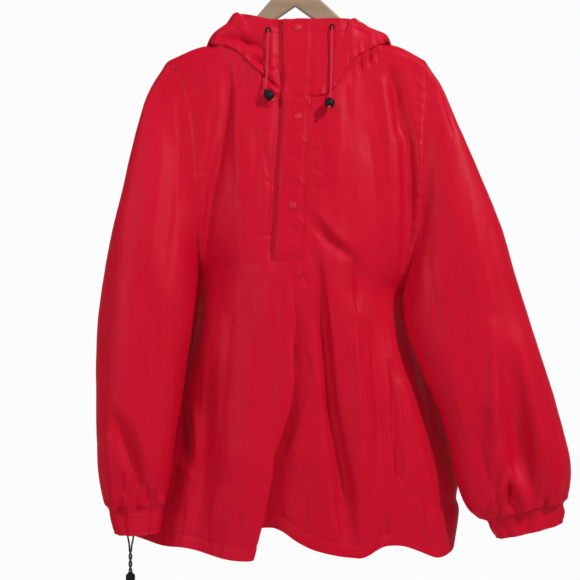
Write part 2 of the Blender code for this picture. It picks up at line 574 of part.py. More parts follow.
def hood_profile(wearer_side, at):
    """Six points from the neck seam to the rim."""
    neck = hood_neck_point(wearer_side, at) / MM
    flat_rows = HOOD_FRONT[wearer_side]
    behind = [(p.at, *p.turn, *p.down, *p.base, *p.out, *p.rim) for p in HOOD[wearer_side]]
    rows = []
    for where, rim_x, rim_drop in flat_rows:
        foot = hood_neck_point(wearer_side, where) / MM
        row = [where]
        for share in HOOD_RISE:
            x, drop = mix(foot.x, rim_x, share), mix(-foot.z, rim_drop, share)
            row += [x, drop, hood_front_y(x, drop)]
        rows.append(tuple(row))
    values = smooth_row(rows + behind, at)
    points = [neck]
    for k in range(0, 15, 3):
        points.append(Vector((values[k], values[k + 2], -values[k + 1])))
    return points


def hood_column(wearer_side, at):
    points = hood_profile(wearer_side, at)
    hold = straight_value(HOOD_HOLD[wearer_side], at)
    shares = zip(even_shares(points, HOOD_ROWS), place_shares(points, HOOD_PLACES))
    return [along(points, mix(even, held, hold)) * MM for even, held in shares]


def hood_columns(wearer_side):
    return [hood_column(wearer_side, at) for at in range(HOOD[wearer_side][-1].at + 1)]


# ---- the skin ---------------------------------------------------------------
class Skin:
    """Points and faces of all panels. Points at the same place are shared."""
    CELL = 1e-3
    SAME = 1e-4

    def __init__(self):
        self.points, self.panels, self.cells = [], {}, {}

    def index(self, point):
        cell = [math.floor(value / self.CELL) for value in point]
        near = (-1, 0, 1)
        for key in ((cell[0] + i, cell[1] + j, cell[2] + k) for i in near for j in near for k in near):
            for number in self.cells.get(key, ()):
                if (self.points[number] - point).length < self.SAME:
                    return number
        self.points.append(point)
        self.cells.setdefault(tuple(cell), []).append(len(self.points) - 1)
        return len(self.points) - 1

    def grid(self, panel, rows, closed=False, flip=False):
        numbers = [[self.index(point) for point in row] for row in rows]
        faces = self.panels.setdefault(panel, [])
        for upper, lower in zip(numbers, numbers[1:]):
            count = len(upper) if closed else len(upper) - 1
            for i in range(count):
                j = (i + 1) % len(upper)
                self.four(faces, (upper[i], lower[i], lower[j], upper[j]), flip)
        return numbers

    def double_grid(self, panel, upper, lower, flip=False):
        """Joins a closed ring to one that has twice its points."""
        upper = [self.index(point) for point in upper]
        lower = [self.index(point) for point in lower]
        faces = self.panels.setdefault(panel, [])
        for i in range(len(upper)):
            j, a, b, c = (i + 1) % len(upper), 2 * i, 2 * i + 1, (2 * i + 2) % len(lower)
            self.three(faces, (upper[i], lower[a], lower[b]), flip)
            self.three(faces, (upper[i], lower[b], upper[j]), flip)
            self.three(faces, (upper[j], lower[b], lower[c]), flip)

    @staticmethod
    def three(faces, corners, flip=False):
        if len(set(corners)) == 3:
            faces.append(tuple(reversed(corners)) if flip else tuple(corners))

    def four(self, faces, corners, flip=False):
        """Two triangles along the shorter diagonal."""
        a, b, c, d = corners
        if (self.points[a] - self.points[c]).length <= (self.points[b] - self.points[d]).length:
            self.three(faces, (a, b, c), flip)
            self.three(faces, (a, c, d), flip)
        else:
            self.three(faces, (a, b, d), flip)
            self.three(faces, (b, c, d), flip)

    def normals(self, panels=None, least=-1.0):
        """For each point the direction that its faces see best, shorter in tight folds.

        A point is left out if even that direction has a smaller share than least.
        """
        sums, around = {}, {}
        for panel in panels or self.panels:
            for face in self.panels[panel]:
                corners = [self.points[i] for i in face]
                normal = (corners[1] - corners[0]).cross(corners[2] - corners[0]).normalized()
                for k, i in enumerate(face):
                    before, after = corners[k - 1] - corners[k], corners[(k + 1) % 3] - corners[k]
                    sums[i] = sums.get(i, Vector()) + normal * before.angle(after, 0)
                    around.setdefault(i, []).append(normal)
        found = {i: seen_by_all(sums[i].normalized(), around[i], least) for i in sums}
        return {i: normal for i, normal in found.items() if normal}


def seen_by_all(normal, faces, least):
    """The direction whose smallest share along the faces' own directions is largest."""
    def share(direction):
        return min(direction.dot(face) for face in faces)
    best = normal
    if share(best) < 0.5:
        for turn in range(80):
            worst = min(faces, key=normal.dot)
            normal = (normal + worst * 0.4 / (1 + 0.15 * turn)).normalized()
            if share(normal) > share(best):
                best = normal
    if share(best) < least:
        return None
    return best * min(1.0, max(0.5, share(best) / 0.4))


def edge_steps(skin_points, normals, faces):
    """The open edges of a panel and, for each point on them, the step that leaves both by one."""
    sides = {(a, b) for face in faces for a, b in zip(face, face[1:] + face[:1])}
    rim = sorted((a, b) for a, b in sides if (b, a) not in sides)
    after, before = dict(rim), {b: a for a, b in rim}
    steps = {}
    for i in after:
        into = skin_points[i] - skin_points[before[i]]
        out = skin_points[after[i]] - skin_points[i]
        first, second = normals[i].cross(into).normalized(), normals[i].cross(out).normalized()
        steps[i] = (first + second) / max(0.35, 1 + first.dot(second))
    return rim, steps


def thicken(name, skin, normals, faces, low, high, gap=0.0):
    """A closed wall from low to high along the skin's normals, drawn in at its edge by gap."""
    corners = {i for face in faces for i in face if i not in normals}
    if corners:
        own = skin.normals([name])
        normals = {**normals, **{i: own[i] for i in corners}}
    rim, steps = edge_steps(skin.points, normals, faces)
    numbers = sorted({i for face in faces for i in face})
    order = {number: k for k, number in enumerate(numbers)}
    inner, outer = [], []
    for i in numbers:
        away = CORNER_GAP if i in corners else gap
        point = skin.points[i] + steps.get(i, Vector()) * away * MM
        inner.append(point + normals[i] * low * MM)
        outer.append(point + normals[i] * high * MM)
    count = len(numbers)
    solid = [tuple(order[i] + count for i in face) for face in faces]
    solid += [tuple(order[i] for i in reversed(face)) for face in faces]
    for a, b in rim:
        low_a, low_b = order[a], order[b]
        high_a, high_b = low_a + count, low_b + count
        if a < b:
            solid += [(high_b, high_a, low_a), (high_b, low_a, low_b)]
        else:
            solid += [(high_b, high_a, low_b), (high_a, low_a, low_b)]
    mesh = bpy.data.meshes.new(name)
    mesh.from_pydata([tuple(p) for p in inner + outer], [], solid)
    mesh.update()
    return mesh


def make_skin():
    skin = Skin()
    rows = range(ARM_SEGMENTS + HEM_SEGMENTS + 1)
    ids = {}

    def front_row(row, columns, side):
        return [front_point(c, row, side if c == SLIT and row < ARM_SEGMENTS else 0) for c in columns]
    ids["front_right"] = skin.grid("front", [front_row(r, range(SLIT + 1), -1) for r in rows])
    ids["front_left"] = skin.grid("front", [front_row(r, range(SLIT, FRONT_LAST + 1), 1) for r in rows])
    skin.grid("back", [[back_point(c, r) for c in range(BACK_LAST + 1)] for r in rows], flip=True)
    for wearer_side in ("right", "left"):
        flip = wearer_side == "left"
        sleeve = "sleeve_" + wearer_side
        upper = [sleeve_ring(wearer_side, q, 1) for q in UPPER_RINGS]
        lower = [sleeve_ring(wearer_side, q, 2) for q in LOWER_RINGS]
        cuff = [sleeve_ring(wearer_side, q, 2) for q in CUFF_RINGS]
        skin.grid(sleeve, upper[:-1], closed=True, flip=flip)
        skin.double_grid(sleeve, upper[-2], lower[0], flip=flip)
        skin.grid(sleeve, lower, closed=True, flip=flip)
        skin.grid("cuff_" + wearer_side, cuff, closed=True, flip=flip)
        columns = hood_columns(wearer_side)
        across = [[column[i] for column in columns] for i in range(HOOD_ROWS, -1, -1)]
        ids["hood_" + wearer_side] = skin.grid("hood_" + wearer_side, across, flip=not flip)
    return skin, ids


# ---- materials and objects --------------------------------------------------
def material(name, colour, roughness, metallic=0.0):
    made = bpy.data.materials.new(name)
    made.use_nodes = True
    shader = made.node_tree.nodes["Principled BSDF"]
    shader.inputs["Base Color"].default_value = (*colour, 1)
    shader.inputs["Roughness"].default_value = roughness
    shader.inputs["Metallic"].default_value = metallic
    return made


def add_object(name, data, made_of, parent=None):
    data.materials.append(made_of)
    made = bpy.data.objects.new(name, data)
    bpy.context.scene.collection.objects.link(made)
    made.parent = parent
    return made


def mesh_from(name, work, shade_angle=None):
    bmesh.ops.recalc_face_normals(work, faces=work.faces)
    mesh = bpy.data.meshes.new(name)
    work.to_mesh(mesh)
    work.free()
    if shade_angle:
        mesh.shade_smooth()
        mesh.set_sharp_from_angle(angle=shade_angle)
    return mesh


def lathe(name, profile, place_at, axis, segments=16):
    """A turned solid: profile rows of radius, height along axis; a ring if it never meets the axis."""
    work = bmesh.new()
    turn = Vector((0, 0, 1)).rotation_difference(axis).to_matrix()
    closed = profile[0][0] > 0
    rings = []
    for radius, height in profile:
        if radius == 0:
            rings.append([work.verts.new(place_at + turn @ Vector((0, 0, height)) * MM)])
            continue
        angles = (2 * math.pi * i / segments for i in range(segments))
        rings.append([work.verts.new(place_at + turn @ Vector((radius * math.cos(a), radius * math.sin(a),
                                                               height)) * MM) for a in angles])
    pairs = list(zip(rings, rings[1:])) + ([(rings[-1], rings[0])] if closed else [])
    for lower, upper in pairs:
        for i in range(segments):
            j = (i + 1) % segments
            corners = [lower[i % len(lower)], lower[j % len(lower)], upper[j % len(upper)],
                       upper[i % len(upper)]]
            unique = [v for k, v in enumerate(corners) if v not in corners[:k]]
            work.faces.new(unique)
    return mesh_from(name, work, math.radians(40))


def tube(name, points, radius, resolution=2):
    """A cord as a poly curve with filled ends."""
    curve = bpy.data.curves.new(name, "CURVE")
    curve.dimensions = "3D"
    curve.bevel_depth = radius * MM
    curve.bevel_resolution = resolution
    curve.use_fill_caps = True
    spline = curve.splines.new("POLY")
    spline.points.add(len(points) - 1)
    for target, point in zip(spline.points, points):
        target.co = (*point, 1)
    return curve


# ---- pieces -----------------------------------------------------------------
def flap_faces(skin, ids):
    """The skin's faces under the placket flap, with the slit closed over."""
    wide = FLAP_TO - SLIT
    right = [row[:wide + 1] for row in ids["hood_right"]] + [
        list(reversed(row[FLAP_FROM:SLIT + 1])) for row in ids["front_right"][1:ARM_SEGMENTS + 1]]
    left = [row[:wide + 1] for row in ids["hood_left"]] + [
        row[:wide + 1] for row in ids["front_left"][1:ARM_SEGMENTS + 1]]
    faces = []
    rows = [list(reversed(r)) + l[1:] for r, l in zip(right, left)]
    for upper, lower in zip(rows, rows[1:]):
        for i in range(len(upper) - 1):
            skin.four(faces, (upper[i], lower[i], lower[i + 1], upper[i + 1]))
    return faces


def welt_faces(skin, ids, wearer_side):
    grid = ids["front_" + wearer_side]
    first = SLIT if wearer_side == "left" else 0
    start, end = (c - first for c in POCKET_COLUMNS[wearer_side])
    faces = []
    for row in range(*POCKET_ROWS):
        upper, lower = grid[row], grid[row + 1]
        skin.four(faces, (upper[start], lower[start], lower[end], upper[end]))
    return faces


def on_cloth(tree, x, drop):
    """Where the cloth's front face lies at x and drop, and which way it faces."""
    spot, normal, _, _ = tree.ray_cast(place(x, drop, -400), Vector((0, 1, 0)))
    return spot, (-normal if normal.y > 0 else normal)


def make_snaps(flap_tree, made_of, parent):
    rim, top = SNAP_RADIUS, SNAP_HEIGHT
    profile = ((0, 0), (rim - 0.6, 0), (rim, 0.6), (rim - 0.2, 1.2), (rim - 1.6, top - 0.3), (0, top))
    for number, (x, drop) in enumerate(SNAP_PLACES, 1):
        spot, normal = on_cloth(flap_tree, x, drop)
        cap = lathe(f"snap_{number}", profile, spot + normal * 0.45 * MM, normal, 14)
        add_object(f"snap_{number}", cap, made_of, parent)


def make_hood_cords(tree, red, black, parent):
    for wearer_side in ("right", "left"):
        x, drop = EYELETS[wearer_side]
        spot, normal = on_cloth(tree, x, drop)
        out, hole, high = EYELET_RADIUS, EYELET_HOLE, EYELET_HEIGHT
        ring = ((hole + 0.3, 0), (out - 0.3, 0), (out, 0.5), (out - 0.9, high), (hole + 0.3, high),
                (hole, 0.6))
        mesh = lathe("eyelet_" + wearer_side, ring, spot + normal * 0.5 * MM, normal, 12)
        add_object("eyelet_" + wearer_side, mesh, black, parent)
        route = [spot + normal * 1.0 * MM, spot + normal * CORD_STUB * MM]
        for cord_x, cord_drop, away in HOOD_CORD[wearer_side]:
            seat, _ = on_cloth(tree, cord_x, cord_drop)
            route.append(seat - Vector((0, away * MM, 0)))
        points = [along(route, i / 16) for i in range(17)]
        name = "hood_cord_" + wearer_side
        add_object(name, tube(name, points, CORD_RADIUS), red, parent)
        end = points[-1]
        down = (points[-1] - points[-2]).normalized()
        slope = Vector(LOCK_SLOPE[wearer_side]).normalized()
        top = end + slope * (LOCK_PLAY + CORD_RADIUS * slope.cross(down).length) * MM
        make_lock("cord_lock_" + wearer_side, top, slope, black, parent)
        foot = top + slope * (LOCK_LENGTH + LOCK_PLAY) * MM
        profile = ((0, 0), (1.9, 0.5), (2.7, 2.4), (2.2, 4.6), (0, 6))
        knot = lathe("cord_knot_" + wearer_side, profile, foot, slope, 12)
        add_object("cord_knot_" + wearer_side, knot, red, parent)


def make_lock(name, top, axis, made_of, parent):
    """A barrel cord lock that starts at top and runs down along axis."""
    long, wide = LOCK_LENGTH, LOCK_RADIUS
    profile = ((0, 0), (wide * 0.5, 0), (wide * 0.62, 1.0), (wide * 0.62, 3.4), (wide * 0.86, 4.2),
               (wide, 6.4), (wide, long - 5), (wide * 0.86, long - 1.6), (wide * 0.5, long), (0, long))
    add_object(name, lathe(name, profile, top, axis, 12), made_of, parent)


def make_hem_cord(black, parent):
    """An elastic loop that leaves the hem at the wearer's right side and carries a cord lock."""
    for name, (x, y, drop) in HEM_STARTS.items():
        sign = -1 if name == "a" else 1
        route = [place(x, drop, y), place(x, drop + HEM_STRAIGHT, y),
                 place(HEM_CORD_X + sign * HEM_BEND_HALF, drop + HEM_BEND, y * 0.45),
                 place(HEM_CORD_X + sign * (HEM_TWIST + 0.15), HEM_TURN_DROP - 4, y * 0.1)]
        for i in range(1, 13):
            angle = math.pi * HEM_HALF_TURNS * i / 12
            across, deep = HEM_TWIST * math.cos(angle), HEM_TWIST * math.sin(angle)
            route.append(place(HEM_CORD_X + sign * across, mix(HEM_TURN_DROP, HEM_END_DROP, i / 12),
                               sign * deep))
        points = [along(route, i / 24) for i in range(25)]
        cord = tube("hem_cord_" + name, points, HEM_CORD_RADIUS)
        add_object("hem_cord_" + name, cord, black, parent)
    top = place(HEM_CORD_X, HEM_END_DROP + HEM_CORD_RADIUS * 0.7, 0)
    make_lock("hem_cord_lock", top, Vector((0, 0, -1)), black, parent)


def outline_solid(name, outline, thick, bevel):
    """A flat board in the plane of the garment, with rounded edges."""
    work = bmesh.new()
    face = work.faces.new([work.verts.new(place(x, drop, -thick / 2)) for x, drop in outline])
    made = bmesh.ops.extrude_face_region(work, geom=[face])
    moved = [v for v in made["geom"] if isinstance(v, bmesh.types.BMVert)]
    bmesh.ops.translate(work, verts=moved, vec=(0, thick * MM, 0))
    flat = [e for e in work.edges if abs(e.verts[0].co.y - e.verts[1].co.y) < 1e-6]
    bmesh.ops.bevel(work, geom=flat, offset=bevel * MM, segments=2, profile=0.5, affect="EDGES",
                    clamp_overlap=True)
    return mesh_from(name, work, math.radians(35))


def make_hanger(wood, steel, parent):
    top = [along_outline(HANGER_TOP, i / 24) for i in range(25)]
    foot = [along_outline(HANGER_FOOT, i / 16) for i in range(17)]
    board = outline_solid("hanger", top + foot, HANGER_THICK, 3.2)
    add_object("hanger", board, wood, parent)
    centre = Vector((0, 0, -(HOOK_RADIUS - WIRE))) * MM
    route = [Vector((0, 0, -HOOK_FOOT_DROP + 0.4)) * MM, Vector((0, 0, -HOOK_FOOT_DROP + 9)) * MM,
             Vector((1.5, 0, -HOOK_FOOT_DROP + 17)) * MM]
    for degrees in range(-50, 211, 20):
        angle = math.radians(degrees)
        route.append(centre + Vector((math.cos(angle), 0, math.sin(angle))) * HOOK_RADIUS * MM)
    points = [along(route, i / 30) for i in range(31)]
    add_object("hook", tube("hook", points, WIRE), steel, parent)


def along_outline(rows, share):
    points = [Vector((x, drop, 0)) for x, drop in rows]
    point = along(points, share)
    return point.x, point.y


def main():
    for old in list(bpy.data.objects):
        bpy.data.objects.remove(old, do_unlink=True)
    garment = bpy.data.objects.new("garment_root", None)
    bpy.context.scene.collection.objects.link(garment)
    red = material("red_nylon", (0.60, 0.012, 0.028), 0.45)
    red_plastic = material("red_plastic", (0.62, 0.02, 0.035), 0.3)
    black = material("black_plastic", (0.012, 0.012, 0.014), 0.35)
    wood = material("hanger_wood", (0.45, 0.27, 0.13), 0.5)
    steel = material("hook_steel", (0.62, 0.62, 0.62), 0.25, 1.0)

    skin, ids = make_skin()
    normals = skin.normals(least=LEAST_SHARE)
    half = WALL / 2
    for name, faces in skin.panels.items():
        mesh = thicken(name, skin, normals, faces, -half, half, SEAM_GAP / 2)
        add_object(name, mesh, red, garment)
    low = half + LAY_GAP
    flap = thicken("placket_flap", skin, normals, flap_faces(skin, ids), low, low + STRIP)
    add_object("placket_flap", flap, red, garment)
    for wearer_side in ("right", "left"):
        name = "pocket_welt_" + wearer_side
        welt = thicken(name, skin, normals, welt_faces(skin, ids, wearer_side), low, low + STRIP)
        add_object(name, welt, red, garment)

    def tree_of(mesh):
        return BVHTree.FromPolygons([v.co for v in mesh.vertices], [tuple(p.vertices) for p in mesh.polygons])
    make_snaps(tree_of(flap), red_plastic, garment)
    cloth = bmesh.new()
    for name in ("front", "hood_right", "hood_left"):
        cloth.from_mesh(bpy.data.objects[name].data)
    make_hood_cords(BVHTree.FromBMesh(cloth), red, black, garment)
    cloth.free()
    make_hem_cord(black, garment)
    make_hanger(wood, steel, garment)


main()
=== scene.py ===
"""The looks of the anorak pullover on its hanger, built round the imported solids.

Each cloth panel is a thin shell on the same surface as its solid, on a finer grid, with creases,
seam puckers, gathers and stitching. Sizes are in millimetres: x from the hanger's middle line to
the wearer's left, drop below the rail, and y for depth, with the front negative.
"""

import math
from collections import namedtuple

import bpy
import bmesh
import numpy as np
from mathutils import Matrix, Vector, noise
from mathutils.bvhtree import BVHTree


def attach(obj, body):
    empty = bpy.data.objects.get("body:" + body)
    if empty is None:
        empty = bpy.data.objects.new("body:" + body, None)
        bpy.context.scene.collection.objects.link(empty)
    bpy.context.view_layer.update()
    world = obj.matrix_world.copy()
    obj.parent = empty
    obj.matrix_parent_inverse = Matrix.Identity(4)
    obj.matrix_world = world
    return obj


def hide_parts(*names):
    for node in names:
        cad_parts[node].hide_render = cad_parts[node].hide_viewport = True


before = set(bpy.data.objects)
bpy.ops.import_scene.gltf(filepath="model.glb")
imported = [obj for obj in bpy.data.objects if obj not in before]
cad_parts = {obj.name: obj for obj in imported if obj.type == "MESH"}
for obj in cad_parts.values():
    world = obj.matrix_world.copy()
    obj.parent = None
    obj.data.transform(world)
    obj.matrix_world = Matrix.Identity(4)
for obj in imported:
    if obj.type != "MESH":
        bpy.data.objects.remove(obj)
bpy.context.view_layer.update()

MM = 0.001


def table(kind, *rows):
    """A table's rows, each with named columns."""
    return [kind(*row) for row in rows]


# ---- driving dimensions -----------------------------------------------------
SLIT_WIDTH = 1.0         # the front opening under the flap

ARM_SEGMENTS = 10        # rows from the shoulder to the underarm
HEM_SEGMENTS = 14        # rows from the underarm to the hem
SHOULDER = 5             # columns along each shoulder seam
FLAP_FROM, SLIT, FLAP_TO = 11, 14, 17      # front columns under the placket flap
NECK_TO, FRONT_LAST = 27, 32               # front columns: end of neck, armhole
BACK_NECK_TO, BACK_LAST = 17, 22           # back columns: end of neck, armhole
HOOD_ROWS = 12
# Rows of the hood round the shoulders, counted in places of a profile: 0 is the seam, 5 the rim
HOOD_PLACES = (0.0, 0.5, 1.0, 1.5, 2.0, 2.35, 2.7, 3.0, 3.4, 3.75, 4.15, 4.55, 5.0)
HOOD_HOLD = {"left": ((0, 0), (8, 0), (11, 1), (19, 1)), "right": ((0, 0), (6.5, 0), (8, 1), (15, 1))}

# ---- outline of the body ----------------------------------------------------
# Ridge line of the hanger under the cloth, carried on through the neck: x, drop
RIDGE = ((-201, 203), (-166, 186), (-145, 179), (-127, 177), (-108, 155), (-87, 120), (-62, 99),
         (0, 88), (62, 99), (80, 114), (95, 131), (116, 157), (138, 175), (155, 177), (172, 183),
         (204, 201))
NECK_SPREAD = 1.35       # above 1: columns of the neck lie closer together at the shoulder
BACK_NECK_SPREAD = 0.6   # share by which the back's columns do so
SHOULDER_TIP = {"right": (-201, 203), "left": (204, 201)}
NECK_POINT = {"right": (-127, 177), "left": (138, 175)}
UNDERARM_DROP = {"right": 535, "left": 566}
SLIT_END_DROP = 517
COLLAR_DROP = 260        # where the slit's line meets the neck seam
HEM_DROP = 960           # the drop at which the hem's columns are spaced

# Front and back neck seam: x, drop
FRONT_NECK = ((-127, 177), (-108, 181), (-86, 192), (-68, 211), (-49, 228), (-24, 246),
              (1, 259), (36, 261), (59, 250), (72, 232), (91, 203), (115, 187), (138, 175))
BACK_NECK = ((-127, 177), (-100, 181), (-60, 184), (5, 187), (70, 183), (108, 180), (138, 175))

# Armhole seam: share of the way down (0 shoulder, 1 underarm), x in front, x behind
ARMHOLE = {"right": ((0.0, -201, -201), (0.1, -180, -198), (0.23, -165, -194), (0.48, -156, -190),
                     (0.66, -154, -187), (0.85, -153, -178), (1.0, -153, -153)),
           "left": ((0.0, 204, 204), (0.14, 205, 208), (0.37, 199, 208), (0.63, 200, 206),
                    (0.81, 188, 198), (1.0, 171, 171))}
# Rows of points down the armhole, closer together over the hanger and the underarm
ARM_ROWS = (0.0, 0.012, 0.04, 0.12, 0.25, 0.41, 0.58, 0.74, 0.87, 0.96, 1.0)
# Rows from the underarm to the hem, closer together near the hem
HEM_ROWS = (0.0, 0.065, 0.138, 0.217, 0.30, 0.39, 0.48, 0.565, 0.652, 0.7355, 0.808, 0.87, 0.92,
            0.964, 1.0)

# Side seams below the underarm: drop, x, y
SIDE_SEAM = {"right": ((535, -153, 6), (549, -154, 10), (568, -159, 18), (600, -169, 27),
                       (650, -186, 34), (700, -200, 37), (760, -216, 38), (819, -230, 36),
                       (898, -254, 30), (947, -271, 24)),
             "left": ((566, 171, 6), (580, 170, 10), (600, 176, 19), (640, 193, 28), (691, 213, 34),
                      (739, 234, 34), (810, 253, 29), (868, 260, 20), (894, 256, 14), (910, 260, 10),
                      (968, 251, 1))}

# Depth of the middle of the body below the ridge line: distance, front, back
DEPTH = ((0, 0, 0), (40, 4, 8), (80, 8, 17), (160, 18, 24), (240, 30, 29), (330, 40, 34),
         (430, 49, 40), (560, 58, 48), (720, 66, 56), (880, 74, 62))
HANGER_HALF = 8          # how far the cloth stands off over the hanger's edge
HANGER_TURN = 2.5        # how soon below the ridge it does so
ARMHOLE_DEPTH = 25       # further depth of the armhole, half way down
UNDERARM_Y = 6           # the point under the arm, where side seam and armhole meet
ARM_CLOSE, ARM_CLOSE_OVER = 0.7, 0.3       # share down the armhole where it starts to close
ARM_SPREAD_OVER = 0.6    # share down the armhole over which it reaches its depth
HEM_BULGE, HEM_BULGE_AT = 0.6, 0.4         # power of the bulge at the hem, and where it is reached
EDGE_CALM, RIDGE_CALM = 0.12, 30           # folds fade out at the edges and at the ridge

# Line of the slit and of the overlapping fold below it: drop, x of the fold's edge,
# how far it overlaps, how far it stands forward
FOLD_LINE = ((137, 1, 0, 0), (260, 1, 0, 0), (330, -3, 0, 0), (424, -8, 0, 0), (514, -12, 0, 0),
             (560, -2, 3, 5), (605, 10, 9, 14), (681, 11, 13, 20), (741, 4, 15, 26),
             (785, -9, 17, 32), (815, -22, 18, 36), (853, -26, 18, 38), (916, -40, 18, 40),
             (980, -55, 18, 42))
FOLD_HALF = 12           # half width of the overlapping fold's turn
FOLD_STEEP, FOLD_REACH = 1.3, 9            # how steep it steps forward, and how far aside it reaches
FOLD_START = 90          # drop over which the slit's columns turn into the fold's
# Columns around that line: column, offset beside the slit, offset in the fold
FOLD_COLUMNS = ((11, -20, -32), (12, -14, -20), (13, -7, -10), (14, 0, 0),
                (15, 8, 10), (16, 16, 20), (17, 24, 32))

# Hem: x, drop (the front one on each side of the fold, then the back one)
HEM_RIGHT = ((-271, 947), (-238, 951), (-204, 958), (-172, 959), (-147, 963), (-110, 970),
             (-84, 973), (-73, 968))
HEM_LEFT = ((-73, 962), (-62, 938), (-43, 928), (-24, 934), (-1, 947), (27, 959), (58, 967),
            (88, 972), (105, 972), (123, 964), (140, 956), (166, 957), (193, 967), (219, 979),
            (240, 976), (251, 968))
HEM_BACK = ((-271, 947), (-210, 938), (-120, 930), (-20, 922), (80, 926), (180, 940), (251, 968))

# ---- folds ------------------------------------------------------------------
# Each fold runs down the cloth: rows of drop, x, depth (inwards positive), half width
FOLD_TAIL = 60           # a fold is followed this far beyond its last row
FRONT_FOLDS = {
    "neck to underarm": ((196, -110, 0, 9), (260, -106, 6, 10), (330, -112, 7, 11),
                         (396, -126, 6, 12), (482, -139, 5, 10), (535, -147, 0, 8)),
    "beside neck to underarm": ((240, -84, 0, 16), (330, -82, -4, 18), (480, -86, -4, 20),
                                (600, -100, 0, 20)),
    "shoulder to underarm": ((205, 153, 0, 10), (252, 158, 9, 11), (300, 166, 10, 12),
                             (345, 176, 11, 12), (440, 180, 12, 12), (495, 178, 9, 11),
                             (560, 168, 0, 10)),
    "below the placket": ((440, 28, 0, 8), (480, 50, 5, 9), (520, 90, 5, 12), (590, 98, 0, 12)),
    "long trough": ((480, 26, 0, 8), (568, 42, 8, 10), (640, 48, 10, 11), (714, 57, 11, 12),
                    (790, 66, 12, 13), (850, 72, 12, 13), (915, 80, 8, 12), (960, 86, 3, 12)),
    "beside the long trough": ((620, 88, 0, 12), (700, 96, -7, 13), (820, 100, -8, 14),
                               (900, 100, -6, 14), (960, 102, -2, 14)),
    "before the pocket": ((600, 118, 0, 12), (700, 124, 5, 13), (800, 130, 5, 13), (880, 136, 0, 12)),
    "hem crease": ((880, 140, 0, 8), (930, 134, 5, 9), (965, 127, 6, 9)),
    "side hem crease": ((860, 200, 0, 8), (915, 205, 6, 9), (975, 210, 5, 9)),
    "right side trough": ((650, -128, 0, 16), (740, -134, 6, 17), (840, -142, 7, 18),
                          (930, -150, 3, 16)),
    "right front ridge": ((560, -80, 0, 26), (700, -92, -5, 28), (860, -104, -6, 30),
                          (960, -108, -3, 30)),
    "hem wave": ((880, -60, 0, 14), (960, -64, -4, 16)),
}
BACK_FOLDS = {
    "right blade": ((230, -120, 0, 14), (330, -112, 8, 16), (480, -104, 9, 18), (680, -112, 7, 20),
                    (900, -128, 6, 20)),
    "middle": ((400, -10, 0, 20), (560, -4, 8, 20), (760, 6, 10, 20), (930, 10, 8, 20)),
    "left blade": ((230, 126, 0, 14), (330, 118, 7, 16), (480, 108, 9, 18), (680, 116, 8, 20),
                   (900, 140, 7, 20)),
    "right ridge": ((460, -60, 0, 22), (640, -56, -6, 24), (940, -60, -7, 24)),
    "left ridge": ((460, 56, 0, 22), (640, 62, -7, 24), (940, 74, -7, 24)),
    "right hem": ((720, -180, 0, 16), (930, -190, 7, 18)),
    "left hem": ((700, 190, 0, 16), (940, 196, 8, 18)),
}
SLEEVE_FOLDS = {
    "right": {"elbow crescent": ((740, -282, 0, 12), (790, -258, 6, 12), (835, -240, 8, 12),
                                 (885, -234, 5, 11), (905, -232, 0, 10)),
              "outer ridge": ((420, -262, 0, 22), (600, -270, -4, 26), (800, -284, 0, 24))},
    "left": {"elbow blade": ((650, 326, 0, 14), (720, 338, 9, 16), (790, 344, 12, 18),
                             (840, 352, 13, 18), (885, 362, 6, 15), (905, 365, 0, 12)),
             "elbow ridge": ((600, 300, 0, 12), (660, 306, -5, 12), (740, 306, -6, 12),
                             (800, 300, 0, 12)),
             "inner trough": ((740, 286, 0, 12), (800, 286, 6, 12), (880, 306, 5, 12),
                              (905, 316, 0, 10))},
}

# ---- sleeves ----------------------------------------------------------------
# Rings from the armhole to the end of the cuff. Each row gives the ring's outer and
# inner end in the view from the front, its middle's y and its half depth.
Ring = namedtuple("Ring", "outer_x outer_drop inner_x inner_drop middle_y half_depth")
SLEEVE = {
    "right": table(
        Ring,
        (-201, 203, -153, 535, 0, 33), (-229, 248, -154, 548, -11, 35),
        (-245, 297, -155, 562, -17, 38), (-265, 388, -157, 582, -24, 42),
        (-286, 482, -159, 606, -31, 45), (-302, 579, -162, 638, -38, 46),
        (-307, 657, -168, 682, -45, 46), (-307, 734, -176, 739, -52, 46),
        (-305, 796, -185, 793, -58, 45), (-300, 847, -191, 847, -65, 42),
        (-290, 884, -199, 882, -70, 35), (-282, 897, -204, 895, -72, 28),
        (-279, 914, -205, 913, -75, 27), (-273, 934, -208, 932, -78, 29),
    ),
    "left": table(
        Ring,
        (204, 201, 171, 566, 0, 33), (232, 245, 171, 579, -11, 35),
        (256, 303, 171, 592, -17, 38), (291, 388, 172, 610, -24, 41),
        (324, 474, 177, 634, -29, 43), (346, 555, 186, 660, -33, 45),
        (374, 643, 199, 693, -37, 46), (398, 722, 218, 738, -40, 46),
        (414, 785, 236, 791, -42, 45), (424, 832, 250, 858, -43, 43),
        (422, 868, 272, 904, -43, 35), (413, 893, 298, 919, -42, 25),
        (416, 907, 305, 934, -41, 23), (413, 924, 314, 948, -40, 24),
    ),
}
BACK_SHARE = 0.68        # depth of a sleeve behind its middle, as a share of the front's
SEAM_FADE = 4            # rings over which the armhole's own shape fades out
SLEEVE_ROUND = 2.2       # power of a ring's section: 2 is an ellipse
GATHERS = 10             # gathers round each cuff
GATHER_ARM = 12.0        # least distance from a ring's middle that a gather is measured by
# Height of the gathers: ring number, height
GATHER_HEIGHT = ((8, 0), (9, 0.6), (10, 2.2), (11, 2.6), (12, 1.8), (13, 1.4))
SLEEVE_END, CUFF_END = 11, 13              # last ring of the sleeve and of the cuff

